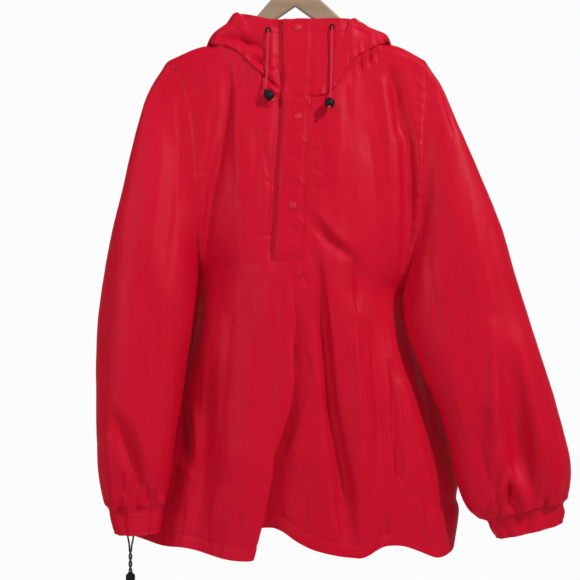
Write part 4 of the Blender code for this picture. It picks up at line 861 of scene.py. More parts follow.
# Each row of these tables is one crease or facet: x, drop, to_x, to_drop, bend, width, height, and
# for a facet its fade, for a crease its far width where it has one
FRONT_FACETS = table(
    Facet,
    (36, 470, 76, 820, 5, 15, 5.8, 30), (60, 660, 102, 900, -4, 15, 5.6, 30),
    (29, 430, 93, 506, -5, 18, 4.6, 18), (28, 620, 26, 756, 3, 14, 2.6, 16),
    (18, 730, -12, 832, 4, 16, 3.0, 18), (-116, 600, -115, 900, 0, 34, 4.6, 44),
    (-160, 738, -152, 850, 3, 20, 6.0, 16), (-104, 240, -112, 400, 2, 8, 1.0, 16),
    (-58, 300, -32, 384, 3, 8, 0.8, 10), (116, 640, 122, 850, -4, 22, 3.0, 22),
)
FRONT_CREASES = table(
    Crease,
    (-104, 212, -112, 322, 4, 5, -2.2), (-113, 330, -141, 520, -5, 7, -2.6),
    (-92, 235, -86, 420, -3, 12, 1.8), (-130, 240, -150, 420, 6, 7, -1.6),
    (-60, 300, -74, 470, 5, 8, -1.1), (-44, 330, -50, 500, -3, 7, 0.9),
    (148, 214, 160, 330, 5, 5, -2.4), (164, 330, 166, 540, 6, 6, -2.6),
    (136, 230, 146, 400, 4, 9, 1.5), (119, 178, 118, 212, 1, 2.4, -3.8),
    (106, 190, 103, 224, 1, 2.4, -3.6), (128, 180, 130, 204, 0, 2.4, -1.8),
    (90, 208, 88, 240, 0, 3, -1.6), (-72, 212, -80, 252, 1, 3, -1.8),
    (-84, 200, -92, 246, 1, 3, -1.6), (-30, 244, -14, 292, 2, 4, 2.2, 7),
    (-50, 240, -30, 262, 1, 4, -1.8), (168, 700, 217, 872, -2, 26, 2.6, 9),
    (-118, 858, -132, 926, 1, 7, 2.2, 12), (92, 505, 95, 600, 0, 3, -2.6),
    (-192, 830, -148, 864, 3, 6, 1.8), (4, 533, 10, 543, 0, 5, 2.0),
    (82, 222, 84, 300, -2, 6, -1.2), (70, 262, 62, 400, 4, 9, 1.0),
    (62, 880, 78, 950, -1, 5, -2.4, 10), (90, 570, 97, 800, 2, 6, 2.4),
    (98, 790, 100, 950, 2, 6, 1.4), (15, 653, 24, 704, 1, 4, -1.4), (40, 900, 34, 944, 0, 4, -1.6),
    (120, 600, 130, 800, -4, 7, -1.5), (140, 560, 150, 690, 3, 7, 1.1),
    (140, 912, 128, 962, 2, 4, -1.8), (200, 866, 212, 962, 1, 8, 2.6, 5),
    (172, 820, 176, 950, -3, 7, 1.4), (232, 860, 238, 950, 2, 6, -1.3),
    (196, 680, 214, 800, 4, 8, -1.3), (178, 600, 190, 720, -3, 6, 1.1),
    (-30, 540, -44, 800, 5, 10, -1.5), (-60, 560, -92, 860, 6, 11, 1.6),
    (-100, 590, -128, 900, 4, 9, -1.8), (-140, 640, -166, 900, 5, 8, 1.4),
    (-172, 720, -200, 920, 3, 7, -1.6), (-206, 800, -228, 940, 2, 6, 1.2),
    (-84, 900, -92, 966, 1, 5, -1.6), (-128, 890, -136, 960, -1, 5, -1.4),
    (-60, 880, -64, 958, 1, 5, 1.2), (-170, 880, -180, 952, 1, 4, -1.3),
    (-150, 560, -178, 690, 4, 5, -1.8), (147, 672, 148, 790, 2, 2.5, -3.6, 10),
    (149, 770, 162, 868, -1, 2.5, -3.6, 10), (156, 700, 184, 880, -4, 8, 1.6),
    (-46, 392, -32, 404, 1, 2.6, -1.2), (-60, 486, -34, 476, 1, 3, -1.2),
    (-44, 502, -32, 500, -1, 2.6, -1.0), (30, 378, 46, 382, 1, 3, -0.9),
    (28, 408, 48, 402, -1, 3, -1.0), (26, 352, 38, 342, 1, 2.6, -0.8),
    (-52, 330, -38, 404, 1, 4, -1.5), (6, 532, 20, 560, 1, 4, -1.4), (20, 880, 12, 940, 1, 4, -1.5),
    (-20, 890, -26, 924, 1, 4, -1.6), (-8, 560, 4, 690, -3, 6, -1.3),
    (10, 700, -16, 800, 3, 5, 1.2), (110, 300, 124, 460, 6, 8, -1.0),
    (44, 300, 52, 430, -3, 7, -0.8), (150, 420, 130, 560, 8, 7, 1.0),
)
BACK_CREASES = table(
    Crease,
    (-140, 230, -120, 420, 8, 8, -2.0), (-112, 420, -108, 700, -5, 9, -2.2),
    (-90, 250, -80, 470, 4, 10, 1.5), (-50, 300, -60, 560, 6, 9, -1.3),
    (-10, 420, -2, 760, -4, 10, -2.2), (24, 380, 40, 640, 5, 9, 1.4),
    (60, 260, 52, 430, -4, 8, -1.3), (112, 240, 118, 460, 7, 8, -2.0),
    (116, 480, 112, 720, -6, 9, -2.1), (88, 520, 98, 830, 4, 8, 1.4),
    (146, 300, 168, 480, 6, 6, -1.8), (-150, 300, -166, 470, -6, 6, -1.8),
    (-128, 700, -136, 920, 3, 7, -2.0), (-190, 740, -202, 920, 2, 7, -2.0),
    (-160, 620, -170, 850, 3, 8, 1.4), (-60, 640, -66, 900, -3, 8, 1.4),
    (-28, 760, -20, 920, 2, 6, -1.5), (14, 740, 16, 925, 2, 7, -1.8), (60, 720, 70, 920, 3, 8, 1.4),
    (140, 720, 146, 930, -3, 7, -2.0), (176, 640, 190, 880, 4, 8, 1.3),
    (196, 760, 204, 940, 2, 6, -1.9), (230, 800, 236, 950, 2, 6, -1.2),
    (-232, 800, -244, 930, 2, 6, -1.2), (-90, 860, -94, 930, 1, 5, -1.5),
    (108, 850, 104, 926, 1, 5, -1.4),
)
# Sleeves: the creases of the front, then those of the back
SLEEVE_CREASES = {
    "right": (table(
        Crease,
        (-294, 770, -262, 856, 6, 9, 1.4), (-262, 834, -259, 874, 1, 3, -3.0),
        (-250, 856, -244, 902, 1, 3.4, -3.4, 5), (-238, 856, -236, 908, 1, 4, 2.6, 7),
        (-226, 852, -221, 894, 1, 3, -3.2, 5), (-204, 866, -199, 912, 1, 5, 2.4, 3),
        (-212, 874, -209, 906, 0, 3, -2.6), (-276, 858, -270, 908, 1, 4, 2.0, 6),
        (-292, 780, -280, 850, 4, 8, 1.6), (-206, 300, -230, 560, 6, 12, 1.3),
        (-180, 300, -196, 560, 5, 8, -1.4), (-240, 330, -268, 560, 7, 10, -1.2),
        (-212, 560, -224, 760, 6, 10, -1.5), (-250, 560, -262, 740, 5, 12, 1.3),
        (-286, 520, -296, 720, 3, 9, -1.2), (-186, 640, -196, 820, 4, 7, 1.2),
        (-206, 780, -214, 870, 4, 7, 1.6), (-222, 236, -236, 320, 3, 7, -1.2),
        (-190, 240, -186, 330, -4, 6, 1.1),
    ), table(
        Crease,
        (-210, 300, -236, 600, 6, 12, -1.6), (-250, 360, -280, 640, 5, 11, 1.3),
        (-190, 420, -200, 700, 6, 9, -1.5), (-270, 640, -240, 850, -12, 9, -2.0),
        (-220, 620, -228, 840, 5, 9, 1.5), (-296, 700, -262, 880, -10, 7, -1.8),
        (-206, 780, -222, 900, 4, 5, -2.0), (-244, 800, -246, 904, 2, 5, 1.4),
    )),
    "left": (table(
        Crease,
        (300, 610, 305, 770, -3, 5, 2.0, 7), (330, 834, 296, 896, 3, 6, 1.6),
        (330, 834, 352, 902, -3, 5, 1.6), (328, 852, 326, 910, 1, 4, -3.6),
        (384, 876, 381, 914, 0, 2.6, -5.0), (276, 764, 304, 904, 6, 6, 2.6, 16),
        (344, 600, 372, 700, -8, 8, 1.2), (372, 700, 396, 860, -5, 8, -1.6),
        (262, 560, 276, 740, -6, 8, -1.5), (232, 420, 262, 620, -6, 10, -1.4),
        (220, 300, 246, 470, -5, 9, 1.3), (268, 380, 312, 600, -8, 10, 1.3),
        (296, 440, 340, 640, -6, 9, -1.3), (226, 236, 250, 330, -3, 6, -1.2),
        (236, 640, 262, 790, -5, 7, 1.4), (366, 862, 368, 910, 0, 4, -2.8),
        (396, 840, 400, 900, 2, 8, 2.4, 4), (306, 874, 314, 922, 1, 3.4, -2.8),
        (206, 500, 226, 640, -5, 7, -1.3),
    ), table(
        Crease,
        (236, 300, 280, 560, -8, 11, -1.7), (270, 520, 330, 760, -10, 10, -1.8),
        (300, 480, 350, 700, -6, 10, 1.5), (230, 520, 262, 740, -6, 9, 1.3),
        (352, 660, 392, 850, -6, 8, -1.8), (290, 740, 330, 900, -5, 7, -2.0),
        (250, 700, 290, 860, -4, 7, 1.4), (340, 800, 350, 900, 3, 5, -2.0),
    )),
}
SLEEVE_FACETS = {
    "right": table(
        Facet,
        (-263, 730, -221, 880, 13, 22, 5.6, 26), (-226, 640, -214, 760, 3, 14, 1.4, 20),
    ),
    "left": table(
        Facet,
        (329, 610, 380, 856, 6, 32, 9.0, 34), (382, 740, 352, 916, 5, 32, 8.4, 34),
        (300, 700, 302, 866, 0, 24, 3.6, 20), (333, 832, 298, 900, 2, 13, 5.4, 12),
        (333, 832, 356, 906, -3, 12, 5.6, 12), (262, 560, 276, 700, -3, 18, 1.4, 20),
    ),
}
HOOD_CREASES = {
    "left": table(
        Crease,
        (60, 240, 66, 330, 3, 9, -1.6), (30, 250, 28, 370, 2, 9, 1.6),
        (96, 180, 112, 260, 5, 7, -1.6), (84, 150, 120, 168, 3, 5, -1.3),
        (92, 140, 84, 190, 2, 9, 0.8), (84, 132, 104, 141, 0, 8, -1.6),
    ),
    "right": table(
        Crease,
        (-52, 240, -60, 330, 3, 9, -1.6), (-24, 250, -20, 370, 2, 9, 1.6),
        (-84, 180, -100, 260, 5, 7, -1.6), (-120, 168, -66, 176, 3, 2.4, -4.4, 6),
        (-92, 172, -48, 184, 2, 2.4, -4.6, 6), (-72, 205, -40, 209, 1, 2.4, -4.4, 6),
        (-78, 192, -50, 198, 2, 5, 1.4), (-56, 216, -30, 218, 1, 2.6, -2.2),
        (-110, 140, -84, 166, 3, 6, -1.3), (-60, 148, -70, 190, 2, 6, -0.9),
    ),
}
# Beside the flap the neck seam sags into a hollow, with a lip of the front's cloth below it
NECK_SAG = table(
    Crease,
    (-54, 229, -18, 249, 1, 5, -4.8, 7.5), (-50, 243, -17, 261, 1, 4, 2.2, 6),
    (-30, 196, -25, 232, 1, 4, -1.4),
)
FLAP_CREASES = table(
    Crease,
    (18, 230, 38, 250, 2, 3, 1.1), (10, 250, 30, 284, -2, 3.5, 0.9),
    (-10, 262, 20, 270, 2, 3, -0.9), (-16, 296, 10, 314, 2, 4, 0.7),
    (4, 318, 24, 340, -2, 3.5, 0.9), (-16, 352, 12, 366, 2, 4, -0.7),
    (-6, 386, 16, 402, 2, 3.5, 0.9), (-22, 408, 4, 418, 1, 3.5, 0.7), (2, 446, 16, 470, 1, 3, 0.9),
    (-20, 462, 10, 482, 2, 4, -0.8), (-12, 492, 8, 500, 1, 3, 0.7), (-10, 160, 26, 172, 2, 5, 0.6),
    (14, 186, -14, 214, 2, 5, -0.6),
)

HEM_CASING = 20          # height of the hem's casing
HEM_CASING_DEPTH, HEM_CASING_HALF = 1.3, 2.2
HEM_FADE, HEM_CALM = 30, 0.45              # over this height creases fade to this share
HEM_GATHERS = ((0.9, 17, 0.7), (0.5, 8.3, 2.1))      # height, pitch, turn
GATHER_AT, GATHER_REACH = 9, 11            # where above the hem the gathers are highest
FLAP_CALM, FLAP_CALM_FADE, CALM_LEAST = 12, 22, 0.25           # calm cloth under the flap
HOLLOW_AT, HOLLOW_HALF, HOLLOW = -25, 6.5, 6.0       # hollow along the flap's free edge
BELOW_SLIT, BELOW_SLIT_FADE = 24, 48       # how far below the slit the flap's effect ends
BODY_SHIFT = {"front": 0.0, "back": 7.3}   # shifts keep one panel's crumple unlike another's
SLEEVE_SHIFT = {"right": 3.1, "left": 11.7}
CUFF_SHIFT, HOOD_SHIFT = 5.0, 15.0
SIDE_CALM = 0.06         # share of a ring over which creases fade at its outer and inner end
# Waves of pleats round a ring: height, number, sway, number of sways
SLEEVE_PLEATS = ((0.62, 21, 0.6, 3), (0.38, 34, 1.3, 2))
CUFF_PLEATS = ((0.6, 21, 0.6, 3), (0.4, 47, 1.7, 2))
PLEAT_HEIGHT, PLEAT_BASE, PLEAT_REACH, PLEAT_POWER = 1.5, 0.2, 30, 1.5     # above the cuff
CUFF_PLEAT_HEIGHT = {"right": 0.7, "left": 0.3}
CUFF_SWELL = {"right": 0.4, "left": 2.8}   # how far the sleeve bulges over its cuff
SWELL_AT, SWELL_REACH = 9, 8
CUFF_CRUMPLE, HOOD_CRUMPLE = 0.3, 0.7      # shares of the body's crumple
CUFF_TOP_SEAM, CUFF_FOOT_SEAM = 4, 5       # stitch lines of the cuff, from its two edges
HOOD_CASING = 22         # height of the casing along the hood's rim
HOOD_BEHIND = 0.8        # share of the creases' height on the hood's back
HOOD_PROUD, HOOD_PROUD_REACH = 1.1, 5      # how far the hood's edge stands up at the neck seam


def settle(panel, lift, *seams):
    """The creases fade out at the seams, beside which the cloth puckers."""
    for distance, run, height in seams:
        lift = lift * fade_in(distance, SEAM_CALM)
    for number, (distance, run, height) in enumerate(seams):
        lift = lift + pucker(distance, run, height, PUCKER_TURN + PUCKER_TURN_STEP * number)
    panel.lift = lift


def beside_flap(from_slit):
    """Calm cloth under the flap, with a hollow along the flap's free edge on the right side."""
    calm = np.maximum(fade_in(np.abs(from_slit) - FLAP_CALM, FLAP_CALM_FADE), CALM_LEAST)
    return calm, -HOLLOW * hump(from_slit - HOLLOW_AT, HOLLOW_HALF)


def dress_body(panels):
    for name, rows in (("front", FRONT_CREASES), ("back", BACK_CREASES)):
        panel = panels[name]
        foot, run = panel.from_foot, panel.from_start
        lift = crease_lift(rows, panel.x, panel.drop) + crumple(panel, BODY_SHIFT[name])
        if name == "front":
            lift = lift + facet_lift(FRONT_FACETS, panel.x, panel.drop)
        gathers = sum(height * uneven(run, pitch, turn) for height, pitch, turn in HEM_GATHERS)
        gathers = gathers * hump(foot - GATHER_AT, GATHER_REACH)
        casing = groove(foot, HEM_CASING, HEM_CASING_DEPTH, HEM_CASING_HALF)
        lift = lift * mix(HEM_CALM, 1, fade_in(foot, HEM_FADE)) + gathers + casing
        if name == "front":
            calm, hollow = beside_flap(panel.x - np.vectorize(slit_x)(panel.drop))
            above = fade_in(SLIT_END_DROP + BELOW_SLIT - panel.drop, BELOW_SLIT_FADE)
            lift = lift * mix(1, calm, above) + hollow * above
        settle(panel, lift, (panel.from_top, run, 0.5), (panel.from_start, panel.from_top, 1.6),
               (panel.from_end, panel.from_top, 1.6))
    panel = panels["front"]
    panel.lift = panel.lift + crease_lift(NECK_SAG, panel.x, panel.drop)


def pleats(panel, waves):
    count = panel.points.shape[1]
    turn = 2 * np.pi * np.arange(count) / count
    return sum(height * np.sin(number * turn + sway * np.sin(sways * turn))
               for height, number, sway, sways in waves)


def dress_sleeves(panels):
    for side in ("right", "left"):
        panel = panels["sleeve_" + side]
        foot, run = panel.from_foot, panel.from_start
        count = panel.points.shape[1]
        half, step = count // 2, np.arange(count)
        calm = np.clip(np.minimum(step % half, half - step % half) / (count * SIDE_CALM), 0, 1)
        front, back = (crease_lift(rows, panel.x, panel.drop) for rows in SLEEVE_CREASES[side])
        front = front + facet_lift(SLEEVE_FACETS[side], panel.x, panel.drop)
        lift = np.where(step <= half, front, back) * calm + crumple(panel, SLEEVE_SHIFT[side])
        near = np.exp(-(foot / PLEAT_REACH) ** PLEAT_POWER)
        height = pleats(panel, SLEEVE_PLEATS) * PLEAT_HEIGHT + PLEAT_BASE
        swell = hump(foot - SWELL_AT, SWELL_REACH) * CUFF_SWELL[side]
        settle(panel, lift + height * near * fade_in(foot, 6) + swell, (panel.from_top, run, 1.2),
               (foot, run, 0.6))
        cuff = panels["cuff_" + side]
        lift = (pleats(cuff, CUFF_PLEATS) * CUFF_PLEAT_HEIGHT[side]
                + CUFF_CRUMPLE * crumple(cuff, CUFF_SHIFT))
        lift = lift * fade_in(cuff.from_top, 3) * mix(0.4, 1, fade_in(cuff.from_foot, 4))
        cuff.lift = (lift + groove(cuff.from_top, CUFF_TOP_SEAM, 0.4, 1.0)
                     + groove(cuff.from_foot, CUFF_FOOT_SEAM, 0.5, 1.2))


def dress_hood(panels):
    for side in ("right", "left"):
        panel = panels["hood_" + side]
        top, foot, shown = panel.from_top, panel.from_foot, panel.y < 0
        lift = crease_lift(HOOD_CREASES[side], panel.x, panel.drop)
        lift = lift * np.where(panel.y > 0, HOOD_BEHIND, 1.0)
        lift = (lift + HOOD_CRUMPLE * crumple(panel, HOOD_SHIFT)) * mix(0.3, 1, fade_in(top, 12))
        lift = lift + groove(top, HOOD_CASING, 0.7) * fade_in(foot, 10)
        settle(panel, lift, (foot, panel.from_start, 4.2), (panel.from_end, top, 1.0))
        from_slit = panel.from_start * (-1 if side == "right" else 1)
        calm, hollow = beside_flap(from_slit)
        panel.lift = panel.lift * calm + hollow * fade_in(foot, 9) * fade_in(top, 14)
        proud = HOOD_PROUD * hump(foot, HOOD_PROUD_REACH) * fade_in(np.abs(from_slit) - 24, 10)
        panel.lift = panel.lift + proud * shown
        if side == "right":
            panel.lift = panel.lift + crease_lift(NECK_SAG, panel.x, panel.drop) * shown


# ---- meshes -----------------------------------------------------------------
SHARP_FROM = 50          # edges that turn by more degrees than this are not smoothed


def mesh_object(name, points, faces, made_of, sharp=None):
    mesh = bpy.data.meshes.new(name)
    mesh.from_pydata([tuple(p) for p in np.asarray(points) * MM], [], faces)
    mesh.update()
    mesh.shade_smooth()
    if sharp:
        mesh.set_sharp_from_angle(angle=math.radians(sharp))
    made = bpy.data.objects.new(name, mesh)
    bpy.context.scene.collection.objects.link(made)
    mesh.materials.append(made_of)
    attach(made, "root")
    return made


def grid_faces(numbers, closed, flip):
    after = np.roll(numbers, -1, axis=1) if closed else numbers[:, 1:]
    before = numbers if closed else numbers[:, :-1]
    corners = (before[:-1], before[1:], after[1:], after[:-1])
    faces = np.stack(corners, axis=2).reshape(-1, 4)
    return faces[:, ::-1] if flip else faces


def shell(name, outer, inner, made_of, closed=False, flip=False, slit=None):
    """A thin closed wall between two grids of points. slit: its column and the row where it ends."""
    rows, columns = outer.shape[:2]
    numbers = np.arange(rows * columns).reshape(rows, columns)
    faces = grid_faces(numbers, closed, flip)
    outer, inner = outer.reshape(-1, 3), inner.reshape(-1, 3)
    if slit:
        column, last = slit
        cut = numbers[:last, column]
        extra = np.arange(len(outer), len(outer) + last)
        move = np.array([SLIT_WIDTH / 2, 0, 0])
        outer, inner = (np.concatenate([side, side[cut] + move]) for side in (outer, inner))
        outer[cut] -= move
        inner[cut] -= move
        swap = dict(zip(cut.tolist(), extra.tolist()))
        right_of = (faces.min(axis=1) % columns == column) & (faces.min(axis=1) < last * columns)
        for k in np.nonzero(right_of)[0]:
            faces[k] = [swap.get(i, i) for i in faces[k].tolist()]
    count = len(outer)
    top = faces.tolist()
    sides = set()
    for face in top:
        sides.update(zip(face, face[1:] + face[:1]))
    rim = sorted((a, b) for a, b in sides if (b, a) not in sides)
    walls = [(b, a, a + count, b + count) for a, b in rim]
    under = (faces[:, ::-1] + count).tolist()
    return mesh_object(name, np.concatenate([outer, inner]), top + under + walls, made_of, SHARP_FROM)


def make_cloth(panels, red):
    """The shells of all the panels that share the skin."""
    made = {}
    for name, panel in panels.items():
        slit = (SLIT * PER_COLUMN, ARM_PARTS * FINE_ROWS) if name == "front" else None
        piece = shell("cloth_" + name, panel.at(THIN), panel.at(-THIN), red, panel.closed, panel.flip,
                      slit)
        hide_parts(name)
        made[name] = piece
    return made


def sub_panel(points, lift):
    part = Panel.__new__(Panel)
    part.points, part.lift, part.closed, part.flip = points, lift, False, False
    part.measure()
    return part


def flap_panel(panels):
    """The placket flap's own grid, over the hood's front and the slit."""
    wide = (FLAP_TO - SLIT) * PER_COLUMN
    right, left, front = panels["hood_right"], panels["hood_left"], panels["front"]
    first, last = FLAP_FROM * PER_COLUMN, FLAP_TO * PER_COLUMN
    rows = slice(1, ARM_PARTS * FINE_ROWS + 1)

    def joined(of_right, of_left, of_front):
        middle = (of_right[:, :1] + of_left[:, :1]) / 2
        upper = np.concatenate([of_right[:, wide:0:-1], middle, of_left[:, 1:wide + 1]], axis=1)
        return np.concatenate([upper, of_front[rows, first:last + 1]])
    points = joined(right.points, left.points, front.points)
    lift = joined(right.lift, left.lift, front.lift)
    return sub_panel(points, lift)


FLAP_THIN = 0.3          # half thickness of the flap and of the welts
LIE_GAP = 0.1            # least space between a flap or welt and the cloth below it
FLAP_RISE = 2.3          # how high the flap lies over the cloth
FREE_WIDE, FREE_RISE = 14, 1.6             # its free edge lifts by this over this width
FREE_EVEN, FREE_UNEVEN = 0.7, 0.3          # shares of that lift that stay and that vary
FLAP_WAVE = 0.35
FLAP_SEAMS = (5, 4, 11, 3)                 # stitch lines: from end and foot, start, foot again, top
PRESS_WIDE, PRESS = 12, 1.1                # the flap is pressed down along its end and foot
FOOT_WIDE, FOOT_DIP = 3, 0.75              # its foot dips to the cloth
WELT_RISE, WELT_WIDE = 0.7, 6


def make_flap(panels, red):
    panel = flap_panel(panels)
    down, end, foot, shared = panel.from_top, panel.from_end, panel.from_foot, panel.lift
    seam = FLAP_SEAMS[0]
    free = fade_in(FREE_WIDE - panel.from_start, FREE_WIDE)
    lift = shared + FLAP_RISE
    lift = lift + FREE_RISE * free * (FREE_EVEN + FREE_UNEVEN * uneven(down, 70, 0.4))
    lift = lift + FLAP_WAVE * uneven(down, 41, 1.3) * fade_in(end, 8)
    lift = lift + groove(end, seam, 0.45, 1.0) + groove(foot, seam, 0.45, 1.0)
    lift = lift - PRESS * fade_in(PRESS_WIDE - np.minimum(end, foot), PRESS_WIDE)
    lift = lift + crease_lift(FLAP_CREASES, panel.x, panel.drop)
    lift = np.maximum(lift, shared + THIN + FLAP_THIN + LIE_GAP)
    panel.lift = lift - FOOT_DIP * fade_in(FOOT_WIDE - foot, FOOT_WIDE)
    piece = shell("cloth_placket_flap", panel.at(FLAP_THIN), panel.at(-FLAP_THIN), red)
    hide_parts("placket_flap")
    return panel, piece


def make_welts(panels, red):
    made = {}
    front = panels["front"]
    rows = slice(fine_row(POCKET_ROWS[0]), fine_row(POCKET_ROWS[1]) + 1)
    for side in ("right", "left"):
        start, end = (c * PER_COLUMN for c in POCKET_COLUMNS[side])
        part = sub_panel(front.points[rows, start:end + 1], front.lift[rows, start:end + 1])
        edge = np.minimum(np.minimum(part.from_start, part.from_end), part.from_foot)
        part.lift = part.lift + THIN + FLAP_THIN + LIE_GAP + WELT_RISE * fade_in(edge, WELT_WIDE)
        piece = shell("cloth_pocket_welt_" + side, part.at(FLAP_THIN), part.at(-FLAP_THIN), red)
        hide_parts("pocket_welt_" + side)
        made[side] = (part, piece)
    return made


def fine_row(row):
    """The fine row that lies nearest a row of the solids."""
    rows = body_rows()
    return FINE_ROWS * min(range(len(rows)), key=lambda i: abs(rows[i] - row))


# ---- stitching --------------------------------------------------------------
STITCH_PITCH, STITCH_LONG, STITCH_WIDE, STITCH_HIGH = 3.2, 2.4, 0.6, 0.3
STITCH_OFF = 0.05        # how far stitches lie off the cloth
# Stitch lines: distance from the body's armhole, neck, the hood's rim and back seam, a welt's edge
ARMHOLE_SEAM, NECK_SEAM, RIM_SEAM, HOOD_BACK_SEAM, WELT_SEAM = 6, 5, 2.5, 4, 1.6
# Stitch lines of the left pocket on the front: x, drop of both ends
POCKET_STITCHES = ((160, 864, 194, 851), (139, 741, 149, 752), (140, 752, 150, 763),
                   (141, 763, 151, 774))
LINE_STEPS = 12          # steps of such a straight line


def level_line(panel, distance, value, axis=0, part=slice(None)):
    """Points on the cloth, and its normals, where a distance across the grid's lines is value."""
    surface, normals = panel.at(THIN + STITCH_OFF), panel.normals
    if axis == 1:
        surface, normals, distance = surface.swapaxes(0, 1), normals.swapaxes(0, 1), distance.T
    points, facing = [], []
    for c in range(surface.shape[1])[part]:
        line = distance[:, c]
        sign = 1 if line[-1] > line[0] else -1
        where = np.interp(sign * value, sign * line, np.arange(len(line)))
        low = min(int(where), len(line) - 2)
        points.append(mix(surface[low, c], surface[low + 1, c], where - low))
        facing.append(normals[low, c])
    return np.array(points), np.array(facing)


def stitches(name, lines, thread):
    """Short raised threads along lines of points and normals."""
    points, faces = [], []
    for line, normals in lines:
        steps = np.linalg.norm(np.diff(line, axis=0), axis=1)
        run = np.concatenate([[0], np.cumsum(steps)])
        starts = np.arange(STITCH_PITCH / 2, run[-1] - STITCH_PITCH, STITCH_PITCH)

        def at(values, places):
            return np.stack([np.interp(places, run, values[:, k]) for k in range(3)], axis=1)
        begin, end = at(line, starts), at(line, starts + STITCH_LONG)
        up = at(normals, starts + STITCH_LONG / 2)
        aside = np.cross(up, end - begin)
        aside *= STITCH_WIDE / 2 / np.maximum(np.linalg.norm(aside, axis=1, keepdims=True), 1e-9)
        middle = (begin + end) / 2
        for corners in zip(begin, end, middle + aside, middle - aside, middle + up * STITCH_HIGH):
            a, b, c, d, top = range(len(points), len(points) + 5)
            points += corners
            faces += [(a, c, top), (c, b, top), (b, d, top), (d, a, top), (a, d, c), (b, c, d)]
    made = mesh_object(name, points, faces, thread)
    return made


def straight_line(tree, x, drop, to_x, to_drop):
    """Points on the cloth, and its normals, between two places."""
    shares = counted(1, LINE_STEPS)
    spots = [on_cloth(tree, mix(x, to_x, share), mix(drop, to_drop, share)) for share in shares]
    return (np.array([spot + facing * STITCH_OFF * MM for spot, facing in spots]) / MM,
            np.array([facing for spot, facing in spots]))


def stitch_all(panels, cloth, flap, welts, thread):
    to_underarm = slice(0, ARM_PARTS * FINE_ROWS)
    for name, neck_to in (("front", NECK_TO), ("back", BACK_NECK_TO)):
        body = panels[name]
        neck = slice(SHOULDER * PER_COLUMN, neck_to * PER_COLUMN)
        stitches("stitches_" + name, [
            level_line(body, body.from_foot, HEM_CASING),
            level_line(body, body.from_start, ARMHOLE_SEAM, 1, to_underarm),
            level_line(body, body.from_end, ARMHOLE_SEAM, 1, to_underarm),
            level_line(body, body.from_top, NECK_SEAM, 0, neck)], thread)
    for side in ("right", "left"):
        hood, cuff, part = panels["hood_" + side], panels["cuff_" + side], welts[side][0]
        stitches("stitches_hood_" + side, [
            level_line(hood, hood.from_top, HOOD_CASING),
            level_line(hood, hood.from_top, RIM_SEAM),
            level_line(hood, hood.from_end, HOOD_BACK_SEAM, 1)], thread)
        stitches("stitches_cuff_" + side, [
            level_line(cuff, cuff.from_top, CUFF_TOP_SEAM),
            level_line(cuff, cuff.from_foot, CUFF_FOOT_SEAM)], thread)
        stitches("stitches_pocket_" + side, [
            level_line(part, part.from_start, WELT_SEAM, 1),
            level_line(part, part.from_end, WELT_SEAM, 1)], thread)
    over_front = tree_of(cloth["front"])
    lines = [straight_line(over_front, *ends) for ends in POCKET_STITCHES]
    stitches("stitches_front_pocket", lines, thread)
    edge, start, second, top = FLAP_SEAMS
    stitches("stitches_placket", [
        level_line(flap, flap.from_end, edge, 1),
        level_line(flap, flap.from_start, start, 1),
        level_line(flap, flap.from_foot, edge),
        level_line(flap, flap.from_foot, second),
        level_line(flap, flap.from_top, top)], thread)


# ---- snaps, eyelets, locks and cords ----------------------------------------
TURNED_SEGMENTS = 40


def turned(name, profile, at, axis, made_of):
    """A piece turned round an axis from a profile; a ring where the profile misses the axis."""
    turn = np.array(Vector((0, 0, 1)).rotation_difference(axis).to_matrix())
    angles = 2 * np.pi * np.arange(TURNED_SEGMENTS) / TURNED_SEGMENTS
    circle = np.stack([np.cos(angles), np.sin(angles), np.zeros(TURNED_SEGMENTS)], axis=1)
    rings = [radius * circle + (0, 0, height) for radius, height in profile]
    points = np.concatenate(rings) @ turn.T + np.array(at) / MM
    numbers = np.arange(len(points)).reshape(len(profile), TURNED_SEGMENTS)
    if profile[0][0] > 0:
        numbers = np.concatenate([numbers, numbers[:1]])
    made = mesh_object(name, points, grid_faces(numbers, True, True).tolist(), made_of)
    work = bmesh.new()
    work.from_mesh(made.data)
    bmesh.ops.remove_doubles(work, verts=work.verts, dist=1e-6)
    bmesh.ops.recalc_face_normals(work, faces=work.faces)
    work.to_mesh(made.data)
    work.free()
    made.data.shade_smooth()
    made.data.set_sharp_from_angle(angle=math.radians(SHARP_FROM))
    return made


CAST_FROM = 400          # how far in front of the hanger a search for the cloth starts


def tree_of(*objects):
    work = bmesh.new()
    for one in objects:
        work.from_mesh(one.data)
    tree = BVHTree.FromBMesh(work)
    work.free()
    return tree


def on_cloth(tree, x, drop):
    """Where the cloth's front face lies at x and drop, and which way it faces."""
    spot, normal, _, _ = tree.ray_cast(place(x, drop, -CAST_FROM), Vector((0, 1, 0)))
    return spot, (-normal if normal.y > 0 else normal)


# Profiles of turned pieces: radius, height
SNAP = ((0, -0.4), (5.6, -0.4), (6.0, 0.2), (6.0, 0.8), (5.6, 1.3), (4.9, 1.5), (4.4, 1.25), (4.0, 1.2),
        (3.3, 1.55), (1.9, 1.95), (0, 2.05))
EYELET = ((2.2, -0.3), (4.3, -0.3), (4.4, 0.4), (4.0, 1.0), (3.3, 1.25), (2.6, 1.0), (2.2, 0.4))
KNOT = ((0, 0), (1.2, 0.1), (2.3, 0.8), (2.8, 1.9), (2.4, 2.8), (2.75, 3.7), (2.3, 4.9), (1.2, 5.8),
        (0, 6))
